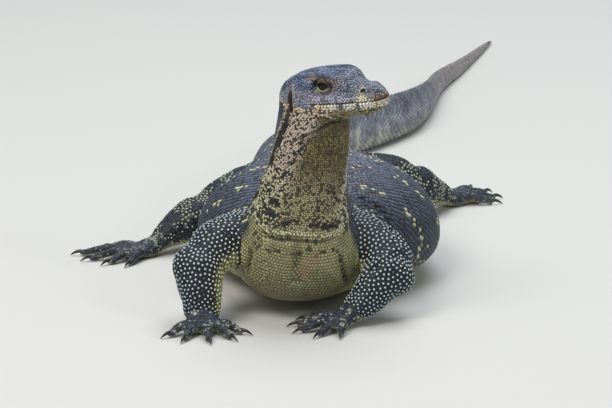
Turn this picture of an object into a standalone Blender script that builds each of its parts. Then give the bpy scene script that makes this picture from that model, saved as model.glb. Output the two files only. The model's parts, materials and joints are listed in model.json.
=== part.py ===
"""Water monitor lizard, life size, resting on the ground with its head raised and turned to its left.

Frame: +X is the lizard's left, -Y is the way the chest faces, +Z is up, and the ground is z = 0.
The tables are in millimetres, from a datum on the ground between the shoulders.
"""

import math

import bmesh
import bpy
import numpy as np
from mathutils import Vector

MM = 0.001
GAP = 0.3  # kept between touching pieces
# From the datum to the middle of the model's box on the ground
ORIGIN = np.array((-6.4, 610.6, 0.0))

TRUNK_SIDES = 32
TAIL_SIDES = 16
LIMB_SIDES = 14
DIGIT_SIDES = 6
CLAW_SIDES = 6
HEAD_SIDES = 32
DOME_STEPS = 3

# The spine from tail tip to nape. Each row is a section: centre x, y, z, half width, height above
# the centre, depth below it, the two roundness powers above and below, and the dorsal direction.
UP = (0, 0, 1)
SPINE = (
    (249, 1352, 3, 1.6, 2.5, 3, 2.0, 2.0, UP),
    (240, 1317, 4, 3.0, 4.5, 4, 1.9, 2.0, UP),
    (205, 1180, 8, 5.5, 11, 9, 1.8, 2.0, UP),
    (167, 1040, 13, 8.5, 18, 14, 1.7, 2.0, UP),
    (155, 965, 16, 11, 21, 17, 1.7, 2.0, UP),
    (142, 895, 20, 14, 26, 21, 1.7, 2.0, UP),
    (122, 828, 24, 17, 30, 25, 1.7, 2.1, UP),
    (90, 772, 26, 20, 32, 27, 1.7, 2.1, UP),
    (50, 712, 28, 22, 34, 29, 1.7, 2.1, UP),
    (15, 635, 31, 26, 37, 32, 1.8, 2.1, UP),
    (-8, 550, 35, 30, 41, 36, 1.8, 2.1, UP),
    (-20, 470, 41, 37, 48, 40, 1.9, 2.1, UP),
    (-20, 420, 46, 44, 54, 42, 1.9, 2.1, UP),
    (-14, 375, 50, 52, 57, 46, 2.0, 2.2, UP),
    (-3, 325, 51, 70, 62, 50, 2.0, 2.3, UP),
    (10, 270, 50, 98, 67, 51, 2.0, 2.4, UP),
    (17, 210, 50, 124, 77, 52, 2.0, 2.5, UP),
    (13, 150, 50, 133, 81, 52, 2.0, 2.5, UP),
    (5, 95, 54, 116, 74, 54, 2.0, 2.4, UP),
    (-3, 50, 60, 88, 62, 55, 2.1, 2.3, UP),
    (-8, 15, 66, 70, 54, 56, 2.2, 2.3, (0, 0.20, 0.98)),
    (-9, -8, 79, 63, 51, 60, 2.2, 2.4, (0, 0.57, 0.82)),
    (-8, -20, 104, 55, 44, 49, 2.1, 2.2, (-0.1, 0.86, 0.50)),
    (-4, -22, 134, 48, 40, 42, 2.0, 2.0, (-0.25, 0.95, 0.18)),
    (2, -24, 166, 42, 40, 41, 2.0, 2.0, (-0.45, 0.89, 0)),
    (7, -26, 199, 38.5, 42.5, 40, 2.0, 2.0, (-0.65, 0.76, 0)),
    (8, -27, 226, 33, 39, 38, 2.0, 2.0, (-0.80, 0.60, 0.1)),
    (2, -22, 250, 28, 30, 24, 2.0, 2.0, (-0.84, 0.53, 0.2)),
)
# Where the spine is parted, as y on the tail and trunk, and z on the neck
TAIL_CUTS_Y = (1120, 890, 650, 425)
NECK_CUT_Z = 98
# The nodes between the cuts, from the tail's tip, with their sides and numbers of sections
SPINE_NODES = (
    ("tail_4", TAIL_SIDES, 6),
    ("tail_3", TAIL_SIDES, 6),
    ("tail_2", TAIL_SIDES, 7),
    ("tail_1", TAIL_SIDES + 4, 7),
    ("torso", TRUNK_SIDES, 26),
    ("neck", TRUNK_SIDES - 8, 10),
)
TAIL_TIP = 2.5
NAPE = 12


def hermite(keys, values, at):
    """Values on a smooth curve through the keys, with the slope at each key taken from its neighbours."""
    keys = np.asarray(keys, float)
    values = np.asarray(values, float)
    steps = np.diff(keys)
    rises = np.diff(values, axis=0) / steps[:, None]
    slopes = np.empty_like(values)
    slopes[0], slopes[-1] = rises[0], rises[-1]
    before, after = steps[:-1, None], steps[1:, None]
    slopes[1:-1] = (rises[:-1] * after + rises[1:] * before) / (before + after)
    at = np.clip(at, keys[0], keys[-1])
    i = np.clip(np.searchsorted(keys, at, side="right") - 1, 0, len(keys) - 2)
    width = steps[i][:, None]
    u = ((at - keys[i]) / steps[i])[:, None]
    return (
        values[i] * (1 + 2 * u) * (1 - u) ** 2
        + slopes[i] * width * u * (1 - u) ** 2
        + values[i + 1] * u**2 * (3 - 2 * u)
        - slopes[i + 1] * width * u**2 * (1 - u)
    )


class Loft:
    """Sections along a smooth line. A place on it is given by its length from the first section.
    The sections of a square loft stand square to the line, and the others keep their own slant."""

    def __init__(self, table, square=True):
        self.square = square
        self.rows = np.array([list(row[:8]) + list(row[8]) for row in table], float)
        steps = np.linalg.norm(np.diff(self.rows[:, :3], axis=0), axis=1)
        self.keys = np.concatenate([[0], np.cumsum(steps)])
        self.length = self.keys[-1]

    def at(self, places):
        """Centres, frames (side, dorsal, forward) and sizes at these places."""
        places = np.atleast_1d(np.asarray(places, float))
        rows = hermite(self.keys, self.rows, places)
        step = 0.5
        ahead = hermite(self.keys, self.rows[:, :3], places + step)
        behind = hermite(self.keys, self.rows[:, :3], places - step)
        forward = ahead - behind
        forward /= np.linalg.norm(forward, axis=1)[:, None]
        dorsal = rows[:, 8:11]
        if self.square:
            dorsal = dorsal - forward * np.sum(dorsal * forward, axis=1)[:, None]
        dorsal = dorsal / np.linalg.norm(dorsal, axis=1)[:, None]
        side = np.cross(dorsal, forward)
        side /= np.linalg.norm(side, axis=1)[:, None]
        return rows[:, :3], side, dorsal, forward, rows[:, 3:8]

    def place_of(self, axis, value, low=0.0, high=None):
        """The place where the line's x, y or z passes this value."""
        high = self.length if high is None else high
        places = np.linspace(low, high, 2000)
        line = hermite(self.keys, self.rows[:, :3], places)[:, axis]
        return places[np.argmin(np.abs(line - value))]


def section(centre, side, dorsal, sizes, sides):
    """One ring of points: half a superellipse above the centre and half below."""
    width, above, below, power_above, power_below = sizes
    angles = np.arange(sides) * 2 * math.pi / sides
    cos, sin = np.cos(angles), np.sin(angles)
    power = np.where(sin >= 0, power_above, power_below)
    height = np.where(sin >= 0, above, below)
    across = width * np.sign(cos) * np.abs(cos) ** (2 / power)
    along = height * np.sign(sin) * np.abs(sin) ** (2 / power)
    return centre + across[:, None] * side + along[:, None] * dorsal


def dome(ring, centre, outward, depth, steps=DOME_STEPS):
    """Rings that close an end in a dome, ending in its pole."""
    rings = []
    for k in range(1, steps):
        angle = k * math.pi / 2 / steps
        moved = centre + (ring - centre) * math.cos(angle)
        rings.append(moved + outward * depth * math.sin(angle))
    return rings, centre + outward * depth


def tube(name, loft, places, sides, start=0.0, end=0.0, steps=DOME_STEPS):
    """A closed tube through the loft's sections at these places. start and end are the depths of
    its domed ends, and 0 leaves a flat end."""
    centres, side, dorsal, forward, sizes = loft.at(places)
    rings = [
        section(centres[i], side[i], dorsal[i], sizes[i], sides)
        for i in range(len(centres))
    ]
    first = last = None
    if start:
        made, first = dome(rings[0], centres[0], -forward[0], start, steps)
        rings = made[::-1] + rings
    if end:
        made, last = dome(rings[-1], centres[-1], forward[-1], end, steps)
        rings = rings + made
    return mesh_of_rings(name, np.concatenate(rings), len(rings), sides, first, last)


def mesh_of_rings(name, points, count, sides, first=None, last=None):
    """An object whose triangles join each ring to the next, with a pole or one flat face at each
    end. Quads would be split anew by each Boolean, and no longer match their swollen copies."""
    mesh = bmesh.new()
    verts = [mesh.verts.new(Vector(p - ORIGIN) * MM) for p in points]
    for r in range(count - 1):
        for k in range(sides):
            a, b = r * sides + k, r * sides + (k + 1) % sides
            mesh.faces.new((verts[a], verts[b], verts[b + sides]))
            mesh.faces.new((verts[a], verts[b + sides], verts[a + sides]))
    for pole, ring, outward in ((first, 0, True), (last, count - 1, False)):
        rim = [verts[ring * sides + k] for k in range(sides)]
        if outward:
            rim.reverse()
        if pole is None:
            mesh.faces.new(rim)
            continue
        tip = mesh.verts.new(Vector(pole - ORIGIN) * MM)
        for k in range(sides):
            mesh.faces.new((rim[k], rim[(k + 1) % sides], tip))
    bmesh.ops.recalc_face_normals(mesh, faces=mesh.faces)
    data = bpy.data.meshes.new(name)
    mesh.to_mesh(data)
    mesh.free()
    obj = bpy.data.objects.new(name, data)
    bpy.context.scene.collection.objects.link(obj)
    return obj


def swell(obj):
    """Move the object's surface out by the gap, so that it can cut its neighbours clear."""
    mesh = bmesh.new()
    mesh.from_mesh(obj.data)
    moves = [vert.normal * vert.calc_shell_factor() * GAP * MM for vert in mesh.verts]
    for vert, move in zip(mesh.verts, moves):
        vert.co += move
    mesh.to_mesh(obj.data)
    mesh.free()
    return obj


def solve(obj, others, operation):
    """Apply one exact Boolean of the object with a collection of closed meshes, and remove them."""
    group = bpy.data.collections.new("operands")
    bpy.context.scene.collection.children.link(group)
    for other in others:
        for owner in list(other.users_collection):
            owner.objects.unlink(other)
        group.objects.link(other)
    modifier = obj.modifiers.new("combine", "BOOLEAN")
    modifier.operand_type = "COLLECTION"
    modifier.collection = group
    modifier.operation = operation
    modifier.solver = "EXACT"
    graph = bpy.context.evaluated_depsgraph_get()
    made = bpy.data.meshes.new_from_object(obj.evaluated_get(graph))
    obj.modifiers.remove(modifier)
    obj.data = made
    for other in list(group.objects):
        bpy.data.objects.remove(other)
    bpy.data.collections.remove(group)
    keep_largest(obj)


def keep_largest(obj):
    """Keep only the object's largest closed surface."""
    mesh = bmesh.new()
    mesh.from_mesh(obj.data)
    bmesh.ops.remove_doubles(mesh, verts=mesh.verts, dist=0.00002)
    bmesh.ops.dissolve_degenerate(mesh, edges=mesh.edges, dist=0.00002)
    bmesh.ops.triangulate(mesh, faces=mesh.faces)
    waiting = set(mesh.faces)
    islands = []
    while waiting:
        island = [waiting.pop()]
        for face in island:
            for edge in face.edges:
                for near in edge.link_faces:
                    if near in waiting:
                        waiting.remove(near)
                        island.append(near)
        islands.append(island)
    islands.sort(key=volume_of, reverse=True)
    for island in islands[1:]:
        bmesh.ops.delete(mesh, geom=island, context="FACES")
    mesh.to_mesh(obj.data)
    mesh.free()


def volume_of(faces):
    """The volume that these faces close."""
    total = 0.0
    for face in faces:
        a, b, c = [vert.co for vert in face.verts]
        total += a.dot(b.cross(c)) / 6
    return total


# The head, in its own frame: X ahead, Y to its left, Z up, and the mouth's line at Z = 0.
HEAD_YAW = math.radians(57.5)
HEAD_PITCH = math.radians(4.9)
HEAD_ROLL = math.radians(6.8)
HEAD_PLACE = np.array((-3.3, -20.0, 242.6))
HEAD_SCALE = 1.036
# Each row: X, half width, height above the mouth's line, depth below it, the two roundness powers
HEAD = (
    (-21, 15, 13, 12, 2.1, 2.1),
    (-15, 21.5, 17.5, 17, 2.1, 2.1),
    (-7, 27.5, 21.5, 22, 2.2, 2.1),
    (4, 31.8, 25, 25, 2.4, 2.2),
    (18, 32, 28, 24, 2.7, 2.3),
    (32, 30, 29.5, 22.5, 3.0, 2.3),
    (46, 26.5, 29.5, 21, 3.4, 2.4),
    (56, 23.8, 28, 19.8, 3.6, 2.4),
    (63, 21.6, 26.2, 18.8, 3.5, 2.4),
    (69, 19.8, 19.4, 18, 3.2, 2.4),
    (75, 18, 15.8, 17.8, 3.2, 2.4),
    (83, 14.8, 15.9, 16.4, 3.2, 2.4),
    (91, 10.8, 14.4, 13.6, 2.8, 2.3),
    (97, 7.4, 11, 9.6, 2.5, 2.2),
    (101, 4.4, 7.6, 5.4, 2.2, 2.1),
    (103.2, 1.6, 4.2, 1.0, 2.0, 2.0),
)
# Swellings and hollows of the head: X, Y, Z, the reach along X and across it, and the height
HEAD_FORMS = (
    (53, 20, 26, 11, 5, 2.2),
    (40, 25, 15, 9, 7, -2.6),
    (71, 18, 10, 7, 6, -1.4),
    (86, 12, 9, 8, 7, 1.0),
    (12, 32, -4, 15, 13, 2.6),
    (-8, 30, 12, 9, 9, -1.5),
    (58, 0, 31, 14, 8, -1.2),
)
HEAD_REAR = 5
# How much the head's sections are drawn together towards the mouth's line
SECTION_CROWDING = 0.35
# The lips: how far they stand out, their height from the mouth's line, their reach up and down, and
# the lengths over which they start behind and end at the tip
LIP_HEIGHT = 0.9
LIP_LEVEL = 3.6
LIP_REACH = 2.2
LIP_START = 12
LIP_EARLY = 0.67
LIP_END = (102, 6)
LIP_FACING = 0.3
MOUTH_CORNER = 30
MOUTH_LINE = ((MOUTH_CORNER, 0), (60, -0.3), (90, 0), (97, 0.7), (103, 2.0), (112, 2.4))
JAW_REAR = (6, -45)
EYE_PLACE = (40, 16.8, 17)
EYE_RADIUS = 7.2
LID_RADIUS = 8.6
EYE_OPENING = (5.7, 4.1)
EAR_PLACE = (5.5, 33, 1.5)
EAR_SIZE = (3.8, 5.0, 12)
NOSTRIL_PLACE = (82, 16.2, 10.9)
NOSTRIL_SIZE = (2.3, 2.6, 1.7)


def head_axes():
    """The head's three axes in the world, as rows."""
    cy, sy = math.cos(HEAD_YAW), math.sin(HEAD_YAW)
    cp, sp = math.cos(HEAD_PITCH), math.sin(HEAD_PITCH)
    cr, sr = math.cos(HEAD_ROLL), math.sin(HEAD_ROLL)
    ahead = np.array((cp * sy, -cp * cy, sp))
    left = np.array((cy, sy, 0.0))
    up = np.cross(ahead, left)
    return np.array((ahead, cr * left + sr * up, cr * up - sr * left))


def from_head(points):
    """World places, in millimetres from the datum, of places in the head's frame."""
    return HEAD_PLACE + HEAD_SCALE * np.asarray(points, float) @ head_axes()


def head_section(x, sides):
    """One ring of the head at this X, with its swellings, hollows and lips."""
    table = np.array(HEAD, float)
    width, above, below, power_above, power_below = hermite(table[:, 0], table[:, 1:], np.array([x]))[0]
    angles = np.arange(sides) * 2 * math.pi / sides
    angles = angles - SECTION_CROWDING * np.sin(2 * angles) / 2
    cos, sin = np.cos(angles), np.sin(angles)
    power = np.where(sin >= 0, power_above, power_below)
    height = np.where(sin >= 0, above, below)
    y = width * np.sign(cos) * np.abs(cos) ** (2 / power)
    z = height * np.sign(sin) * np.abs(sin) ** (2 / power)
    out = np.stack((y / width**2, z / height**2), axis=1)
    out /= np.linalg.norm(out, axis=1)[:, None]
    push = np.zeros(sides)
    for fx, fy, fz, reach, across, rise in HEAD_FORMS:
        near = ((x - fx) / reach) ** 2 + ((np.abs(y) - fy) ** 2 + (z - fz) ** 2) / across**2
        push = push + rise * np.exp(-near)
    lips = np.exp(-(((np.abs(z) - LIP_LEVEL) / LIP_REACH) ** 2)) * (np.abs(cos) > LIP_FACING)
    lips *= np.clip((x - MOUTH_CORNER) / LIP_START + LIP_EARLY, 0, 1)
    lips *= np.clip((LIP_END[0] - x) / LIP_END[1], 0, 1)
    push = push + LIP_HEIGHT * lips
    y = y + out[:, 0] * push
    z = z + out[:, 1] * push
    return np.stack((np.full(sides, x), y, z), axis=1)


HEAD_STATIONS = (-21, -18, -13, -6, 2, 10, 18, 26, 32, 37, 42, 47, 52, 57, 61, 65, 68, 72, 77, 82, 86, 90)
HEAD_TIP_STATIONS = (94, 97.5, 100.5, 102.5)


def head_solid(name):
    """The whole head with its jaw, closed behind by a dome and in front by its tip."""
    rings = [head_section(x, HEAD_SIDES) for x in HEAD_STATIONS + HEAD_TIP_STATIONS]
    centre = np.array((HEAD_STATIONS[0], 0, 0))
    made, first = dome(rings[0], centre, np.array((-1, 0, 0)), HEAD_REAR)
    rings = made[::-1] + rings
    points = from_head(np.concatenate(rings))
    tip = from_head((103.6, 0, 2))
    return mesh_of_rings(name, points, len(rings), HEAD_SIDES, from_head(first), tip)


def jaw_prism(name):
    """The region of the lower jaw: below the mouth's line and ahead of the mouth's corner."""
    outline = [*MOUTH_LINE, (112, JAW_REAR[1]), JAW_REAR]
    rings = [np.array([(x, y, z) for x, z in outline]) for y in (-60, 60)]
    return mesh_of_rings(name, from_head(np.concatenate(rings)), 2, len(outline))


def ball(name, place, sizes, columns=18, rows=10):
    """An ellipsoid in the head's frame, its poles along Y, with the given half sizes."""
    rings = []
    for r in range(1, rows):
        lat = -math.pi / 2 + math.pi * r / rows
        turn = np.arange(columns) * 2 * math.pi / columns
        ring = np.stack(
            (
                sizes[0] * math.cos(lat) * np.cos(turn),
                np.full(columns, sizes[1] * math.sin(lat)),
                sizes[2] * math.cos(lat) * np.sin(turn),
            ),
            axis=1,
        )
        rings.append(ring + place)
    first = from_head(np.array(place) - (0, sizes[1], 0))
    last = from_head(np.array(place) + (0, sizes[1], 0))
    return mesh_of_rings(name, from_head(np.concatenate(rings)), rows - 1, columns, first, last)


def rod(name, place, sizes, reach, columns=18):
    """An elliptical rod in the head's frame that runs from the place outward along Y."""
    turn = np.arange(columns) * 2 * math.pi / columns
    rings = []
    for y in (0, reach):
        ring = np.stack((sizes[0] * np.cos(turn), np.full(columns, y), sizes[1] * np.sin(turn)), axis=1)
        rings.append(ring + place)
    return mesh_of_rings(name, from_head(np.concatenate(rings)), 2, columns)


def make_head():
    """The head and the lower jaw, parted along the mouth, and the two eyes."""
    head = head_solid("head")
    jaw = head_solid("lower_jaw")
    solve(jaw, [jaw_prism("jaw_region")], "INTERSECT")
    lids = []
    cuts = [swell(jaw_prism("jaw_gap"))]
    eyes = []
    for side, word in ((1, "left"), (-1, "right")):
        mirror = np.array((1, side, 1))
        eye = np.array(EYE_PLACE) * mirror
        lids.append(ball("lids", eye, (LID_RADIUS,) * 3))
        cuts.append(ball("socket", eye, (EYE_RADIUS + GAP,) * 3))
        cuts.append(rod("opening", eye, EYE_OPENING, side * 14))
        cuts.append(ball("ear_cup", np.array(EAR_PLACE) * mirror, EAR_SIZE, 14, 8))
        cuts.append(ball("nostril", np.array(NOSTRIL_PLACE) * mirror, NOSTRIL_SIZE, 10, 6))
        eyes.append(ball("eye_" + word, eye, (EYE_RADIUS,) * 3, 16, 8))
    solve(head, lids, "UNION")
    solve(head, cuts, "DIFFERENCE")
    return head, jaw, eyes


# The limbs. Rows are as the spine's, from the body outward.
UPPER_ARM_LEFT = (
    (28, 30, 78, 24, 25, 24, 2.1, 2.1, (0, 0.3, 1)),
    (48, 22, 80, 28, 27, 27, 2.1, 2.1, (0, 0.3, 1)),
    (69, 8, 74, 27, 26, 28, 2.1, 2.1, (0, 0.3, 1)),
    (86, -8, 63, 25, 25, 28, 2.1, 2.1, (0.2, 0.3, 1)),
    (93, -17, 57, 23, 24, 26, 2.1, 2.1, (0.3, 0.3, 1)),
)
FOREARM_LEFT = (
    (91, -16, 60, 15, 15, 15, 2.1, 2.1, (0.8, 0.3, 0.5)),
    (90, -20, 55, 25, 26, 25, 2.1, 2.1, (0.8, 0.3, 0.5)),
    (77, -34, 40, 23, 25, 24, 2.1, 2.1, (0.6, 0.3, 0.7)),
    (62, -46, 24, 18, 19, 18, 2.1, 2.1, (0.5, 0.3, 0.8)),
    (50, -54, 15, 16, 14, 13, 2.1, 2.1, (0.4, 0.2, 0.9)),
)
UPPER_ARM_RIGHT = (
    (-38, 24, 78, 24, 25, 24, 2.1, 2.1, (0, 0.3, 1)),
    (-58, 15, 82, 28, 27, 28, 2.1, 2.1, (0, 0.3, 1)),
    (-79, -4, 82, 27, 27, 30, 2.1, 2.1, (0, 0.3, 1)),
    (-98, -22, 77, 26, 26, 29, 2.1, 2.1, (-0.2, 0.3, 1)),
    (-107, -32, 70, 23, 24, 26, 2.1, 2.1, (-0.3, 0.3, 1)),
)
FOREARM_RIGHT = (
    (-107, -32, 76, 14, 14, 14, 2.1, 2.1, (-0.8, 0.3, 0.3)),
    (-111, -36, 68, 25, 26, 25, 2.1, 2.1, (-0.8, 0.3, 0.3)),
    (-112, -48, 46, 25, 25, 24, 2.1, 2.1, (-0.6, 0.6, 0.3)),
    (-110, -58, 26, 21, 19, 19, 2.1, 2.1, (-0.2, 0.8, 0.4)),
    (-110, -64, 15, 20, 14, 14, 2.1, 2.1, (0, 0.8, 0.7)),
)
THIGH_LEFT = (
    (20, 366, 52, 26, 28, 26, 2.1, 2.1, UP),
    (45, 370, 54, 30, 31, 29, 2.1, 2.1, UP),
    (76, 374, 53, 30, 31, 29, 2.1, 2.1, UP),
    (103, 380, 49, 27, 29, 27, 2.1, 2.1, UP),
    (117, 386, 44, 22, 24, 23, 2.1, 2.1, UP),
)
SHIN_LEFT = (
    (109, 383, 42, 14, 14, 14, 2.1, 2.1, UP),
    (122, 394, 41, 23, 23, 24, 2.1, 2.1, UP),
    (137, 418, 30, 21, 21, 22, 2.1, 2.1, UP),
    (152, 440, 21, 15, 15, 16, 2.1, 2.1, UP),
    (161, 455, 14, 13, 11, 12, 2.1, 2.1, UP),
)
THIGH_RIGHT = (
    (-30, 352, 52, 26, 28, 26, 2.1, 2.1, UP),
    (-52, 330, 54, 30, 31, 29, 2.1, 2.1, UP),
    (-78, 306, 50, 29, 29, 29, 2.1, 2.1, UP),
    (-100, 290, 44, 25, 25, 27, 2.1, 2.1, UP),
    (-112, 281, 40, 21, 21, 23, 2.1, 2.1, UP),
)
SHIN_RIGHT = (
    (-106, 285, 42, 14, 14, 14, 2.1, 2.1, UP),
    (-119, 274, 38, 23, 22, 23, 2.1, 2.1, UP),
    (-138, 259, 30, 21, 21, 22, 2.1, 2.1, UP),
    (-156, 246, 21, 15, 15, 16, 2.1, 2.1, UP),
    (-166, 239, 14, 13, 11, 12, 2.1, 2.1, UP),
)
# Each foot: wrist or ankle x, y, z, the way it points in degrees from -Y towards +X, the palm's
# length and half width, then for each toe its spread in degrees and its length.
HANDS = {
    "left": ((50, -54, 13), -62, 30, 15, ((-52, 30), (-24, 38), (2, 42), (28, 38), (58, 28))),
    "right": ((-111, -64, 13), 8, 26, 19, ((-56, 28), (-26, 36), (2, 40), (28, 38), (58, 30))),
}
FEET = {
    "left": ((161, 455, 12), 133, 34, 15, ((-38, 34), (-14, 46), (8, 56), (28, 62), (62, 36))),
    "right": ((-166, 239, 12), -62, 34, 15, ((-62, 36), (-28, 62), (-8, 56), (14, 46), (38, 34))),
}
LIMBS = (
    (UPPER_ARM_LEFT, FOREARM_LEFT, HANDS["left"], ("upper_arm", "forearm", "hand", "left")),
    (UPPER_ARM_RIGHT, FOREARM_RIGHT, HANDS["right"], ("upper_arm", "forearm", "hand", "right")),
    (THIGH_LEFT, SHIN_LEFT, FEET["left"], ("thigh", "shin", "foot", "left")),
    (THIGH_RIGHT, SHIN_RIGHT, FEET["right"], ("thigh", "shin", "foot", "right")),
)
FINISHES = {
    "head": ((0.08, 0.09, 0.11), 0.5),
    "lower": ((0.42, 0.37, 0.20), 0.5),
    "neck": ((0.24, 0.21, 0.13), 0.55),
    "torso": ((0.09, 0.10, 0.12), 0.55),
    "tail": ((0.13, 0.14, 0.15), 0.6),
    "upper": ((0.05, 0.06, 0.09), 0.5),
    "forearm": ((0.05, 0.06, 0.09), 0.5),
    "hand": ((0.04, 0.045, 0.06), 0.5),
    "thigh": ((0.06, 0.07, 0.09), 0.5),
    "shin": ((0.06, 0.07, 0.09), 0.5),
    "foot": ((0.04, 0.045, 0.06), 0.5),
}
TOE_RADIUS = 5.2
# Along each toe: the share of its length, the height of its middle and the share of its radius
TOE_ROWS = ((0, 8.0, 1.25), (0.30, 9.5, 1.12), (0.62, 8.0, 0.98), (0.88, 4.6, 0.86), (1, 3.0, 0.76))
# Where the toes start: the share of the palm's length ahead and of its half width to the side
TOE_ROOT = (0.62, 0.8)
TOE_DEPTH = 0.95
# Along each palm: the share of its length and of its half width, the height of its middle above
# the wrist where the last number is 1 or above the ground where it is 0, the height and the depth
PALM_ROWS = (
    (-0.15, 0.72, 1, 10, 12, 1),
    (0.2, 0.86, -1, 11, 12, 1),
    (0.55, 1.0, 8, 9, 9.5, 0),
    (0.95, 0.96, 6.5, 7, 8, 0),
)
# Claws: how fast they taper, how much narrower than deep they are, how far they are sunk in the
# toe and lie above its middle, and how much their arch flattens towards the tip
CLAW_LENGTH = 14
CLAW_RADIUS = 2.5
CLAW_TIP = 0.3
CLAW_ARCH = 2.6
CLAW_CLEARANCE = 0.5
CLAW_TAPER = 0.7
CLAW_NARROWING = 0.75
CLAW_ROOT = 2
CLAW_LIFT = 0.6
CLAW_FLATTENING = 0.4


def limb(name, table):
    """One length of a limb, with domed ends."""
    loft = Loft(table)
    places = np.linspace(0, loft.length, 7)
    first, last = loft.rows[0, 3] * 0.7, loft.rows[-1, 3] * 0.7
    return tube(name, loft, places, LIMB_SIDES, first, last, 2)


def heading(degrees):
    """The level direction this far round from -Y towards +X."""
    angle = math.radians(degrees)
    return np.array((math.sin(angle), -math.cos(angle), 0.0))


def toe_line(foot, toe):
    """The places along one toe and its radii, from inside the palm to the tip."""
    (x, y, z), turn, palm, half_width, toes = foot
    spread, length = toes[toe]
    ahead, out = heading(turn), heading(turn + spread)
    across = math.sin(math.radians(spread)) * half_width * TOE_ROOT[1]
    root = np.array((x, y, 0)) + ahead * palm * TOE_ROOT[0] + heading(turn + 90) * across
    line = []
    for share, level, size in TOE_ROWS:
        place = root + out * length * share
        line.append((place[0], place[1], level, TOE_RADIUS * size))
    return line, out


def toe_solid(name, foot, toe):
    """One toe, domed at both ends."""
    line, _ = toe_line(foot, toe)
    table = [(x, y, z, r, r, r * TOE_DEPTH, 2.0, 2.1, UP) for x, y, z, r in line]
    loft = Loft(table)
    places = np.linspace(0, loft.length, 5)
    return tube(name, loft, places, DIGIT_SIDES, 3, line[-1][3] * 0.9, 2)


def claw_solid(name, foot, toe):
    """A claw that leaves the toe's tip, arches and ends just above the ground."""
    line, out = toe_line(foot, toe)
    tip = np.array(line[-1][:3])
    table = []
    for t in np.linspace(0, 1, 5):
        radius = CLAW_RADIUS * (1 - t) ** CLAW_TAPER + CLAW_TIP
        level = (tip[2] + CLAW_LIFT) * (1 - t**2) + (CLAW_CLEARANCE + CLAW_TIP) * t**2
        rise = level + CLAW_ARCH * math.sin(math.pi * t) * (1 - CLAW_FLATTENING * t)
        place = tip + out * (CLAW_LENGTH * t - CLAW_ROOT * (1 - t))
        table.append((place[0], place[1], rise, radius * CLAW_NARROWING, radius, radius, 1.8, 2.0, UP))
    loft = Loft(table)
    places = np.linspace(0, loft.length, 5)
    return tube(name, loft, places, CLAW_SIDES, 0, CLAW_TIP, 1)


def palm_solid(name, foot):
    """The palm or sole: a low tube from the wrist to the roots of the toes."""
    (x, y, z), turn, palm, half_width, _ = foot
    ahead = heading(turn)
    start = np.array((x, y, 0.0))
    table = []
    for share, width, level, above, below, on_wrist in PALM_ROWS:
        place = start + ahead * palm * share
        centre = z * on_wrist + level
        table.append((place[0], place[1], centre, half_width * width, above, below, 2.1, 2.3, UP))
    loft = Loft(table)
    places = np.linspace(0, loft.length, 5)
    return tube(name, loft, places, LIMB_SIDES, 8, 5, 2)


def foot_solid(name, foot):
    """The palm with its five toes as one solid."""
    made = palm_solid(name, foot)
    solve(made, [toe_solid("toe", foot, toe) for toe in range(5)], "UNION")
    return made


def ground():
    """A slab whose top is the ground."""
    corners = np.array([(x, y, 0) for x, y in ((-900, -1500), (900, -1500), (900, 1500), (-900, 1500))])
    rings = [ORIGIN + corners + (0, 0, z) for z in (-60, 0)]
    return mesh_of_rings("ground", np.concatenate(rings), 2, 4)


def spine_solids(spine, cuts):
    """The spine's tube between each two neighbouring cuts, as a list from the tail's tip."""
    solids = []
    for k, (low, high) in enumerate(zip(cuts[:-1], cuts[1:])):
        name, sides, stations = SPINE_NODES[k]
        start = TAIL_TIP if k == 0 else 0
        end = NAPE if k == len(SPINE_NODES) - 1 else 0
        low += 0 if start else GAP / 2
        high -= 0 if end else GAP / 2
        solids.append(tube(name, spine, np.linspace(low, high, stations), sides, start, end))
    return solids


def trim(obj, neighbours):
    """Cut the object clear of its neighbours' grown solids and of the ground, one after another."""
    for cutter in neighbours + [ground()]:
        solve(obj, [cutter], "DIFFERENCE")


def make_limb(upper, lower, foot, words, body):
    """One leg or arm with its foot and claws, each piece cut clear of the one that carries it."""
    upper_name, lower_name, foot_name, side = words
    top = limb(f"{upper_name}_{side}", upper)
    trim(top, body())
    middle = limb(f"{lower_name}_{side}", lower)
    trim(middle, [*body(), swell(limb("cut", upper))])
    end = foot_solid(f"{foot_name}_{side}", foot)
    trim(end, [*body(), swell(limb("cut", lower))])
    claws = []
    for toe in range(5):
        claw = claw_solid(f"{foot_name}_claw_{side}_{toe + 1}", foot, toe)
        trim(claw, [swell(toe_solid("cut", foot, toe))])
        claws.append(claw)
    return [top, middle, end], claws


def plain_material(name, colour, roughness):
    """A Principled material of one colour."""
    material = bpy.data.materials.new(name)
    material.use_nodes = True
    shader = material.node_tree.nodes["Principled BSDF"]
    shader.inputs["Base Color"].default_value = (*colour, 1)
    shader.inputs["Roughness"].default_value = roughness
    shader.inputs["Metallic"].default_value = 0.0
    return material


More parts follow.
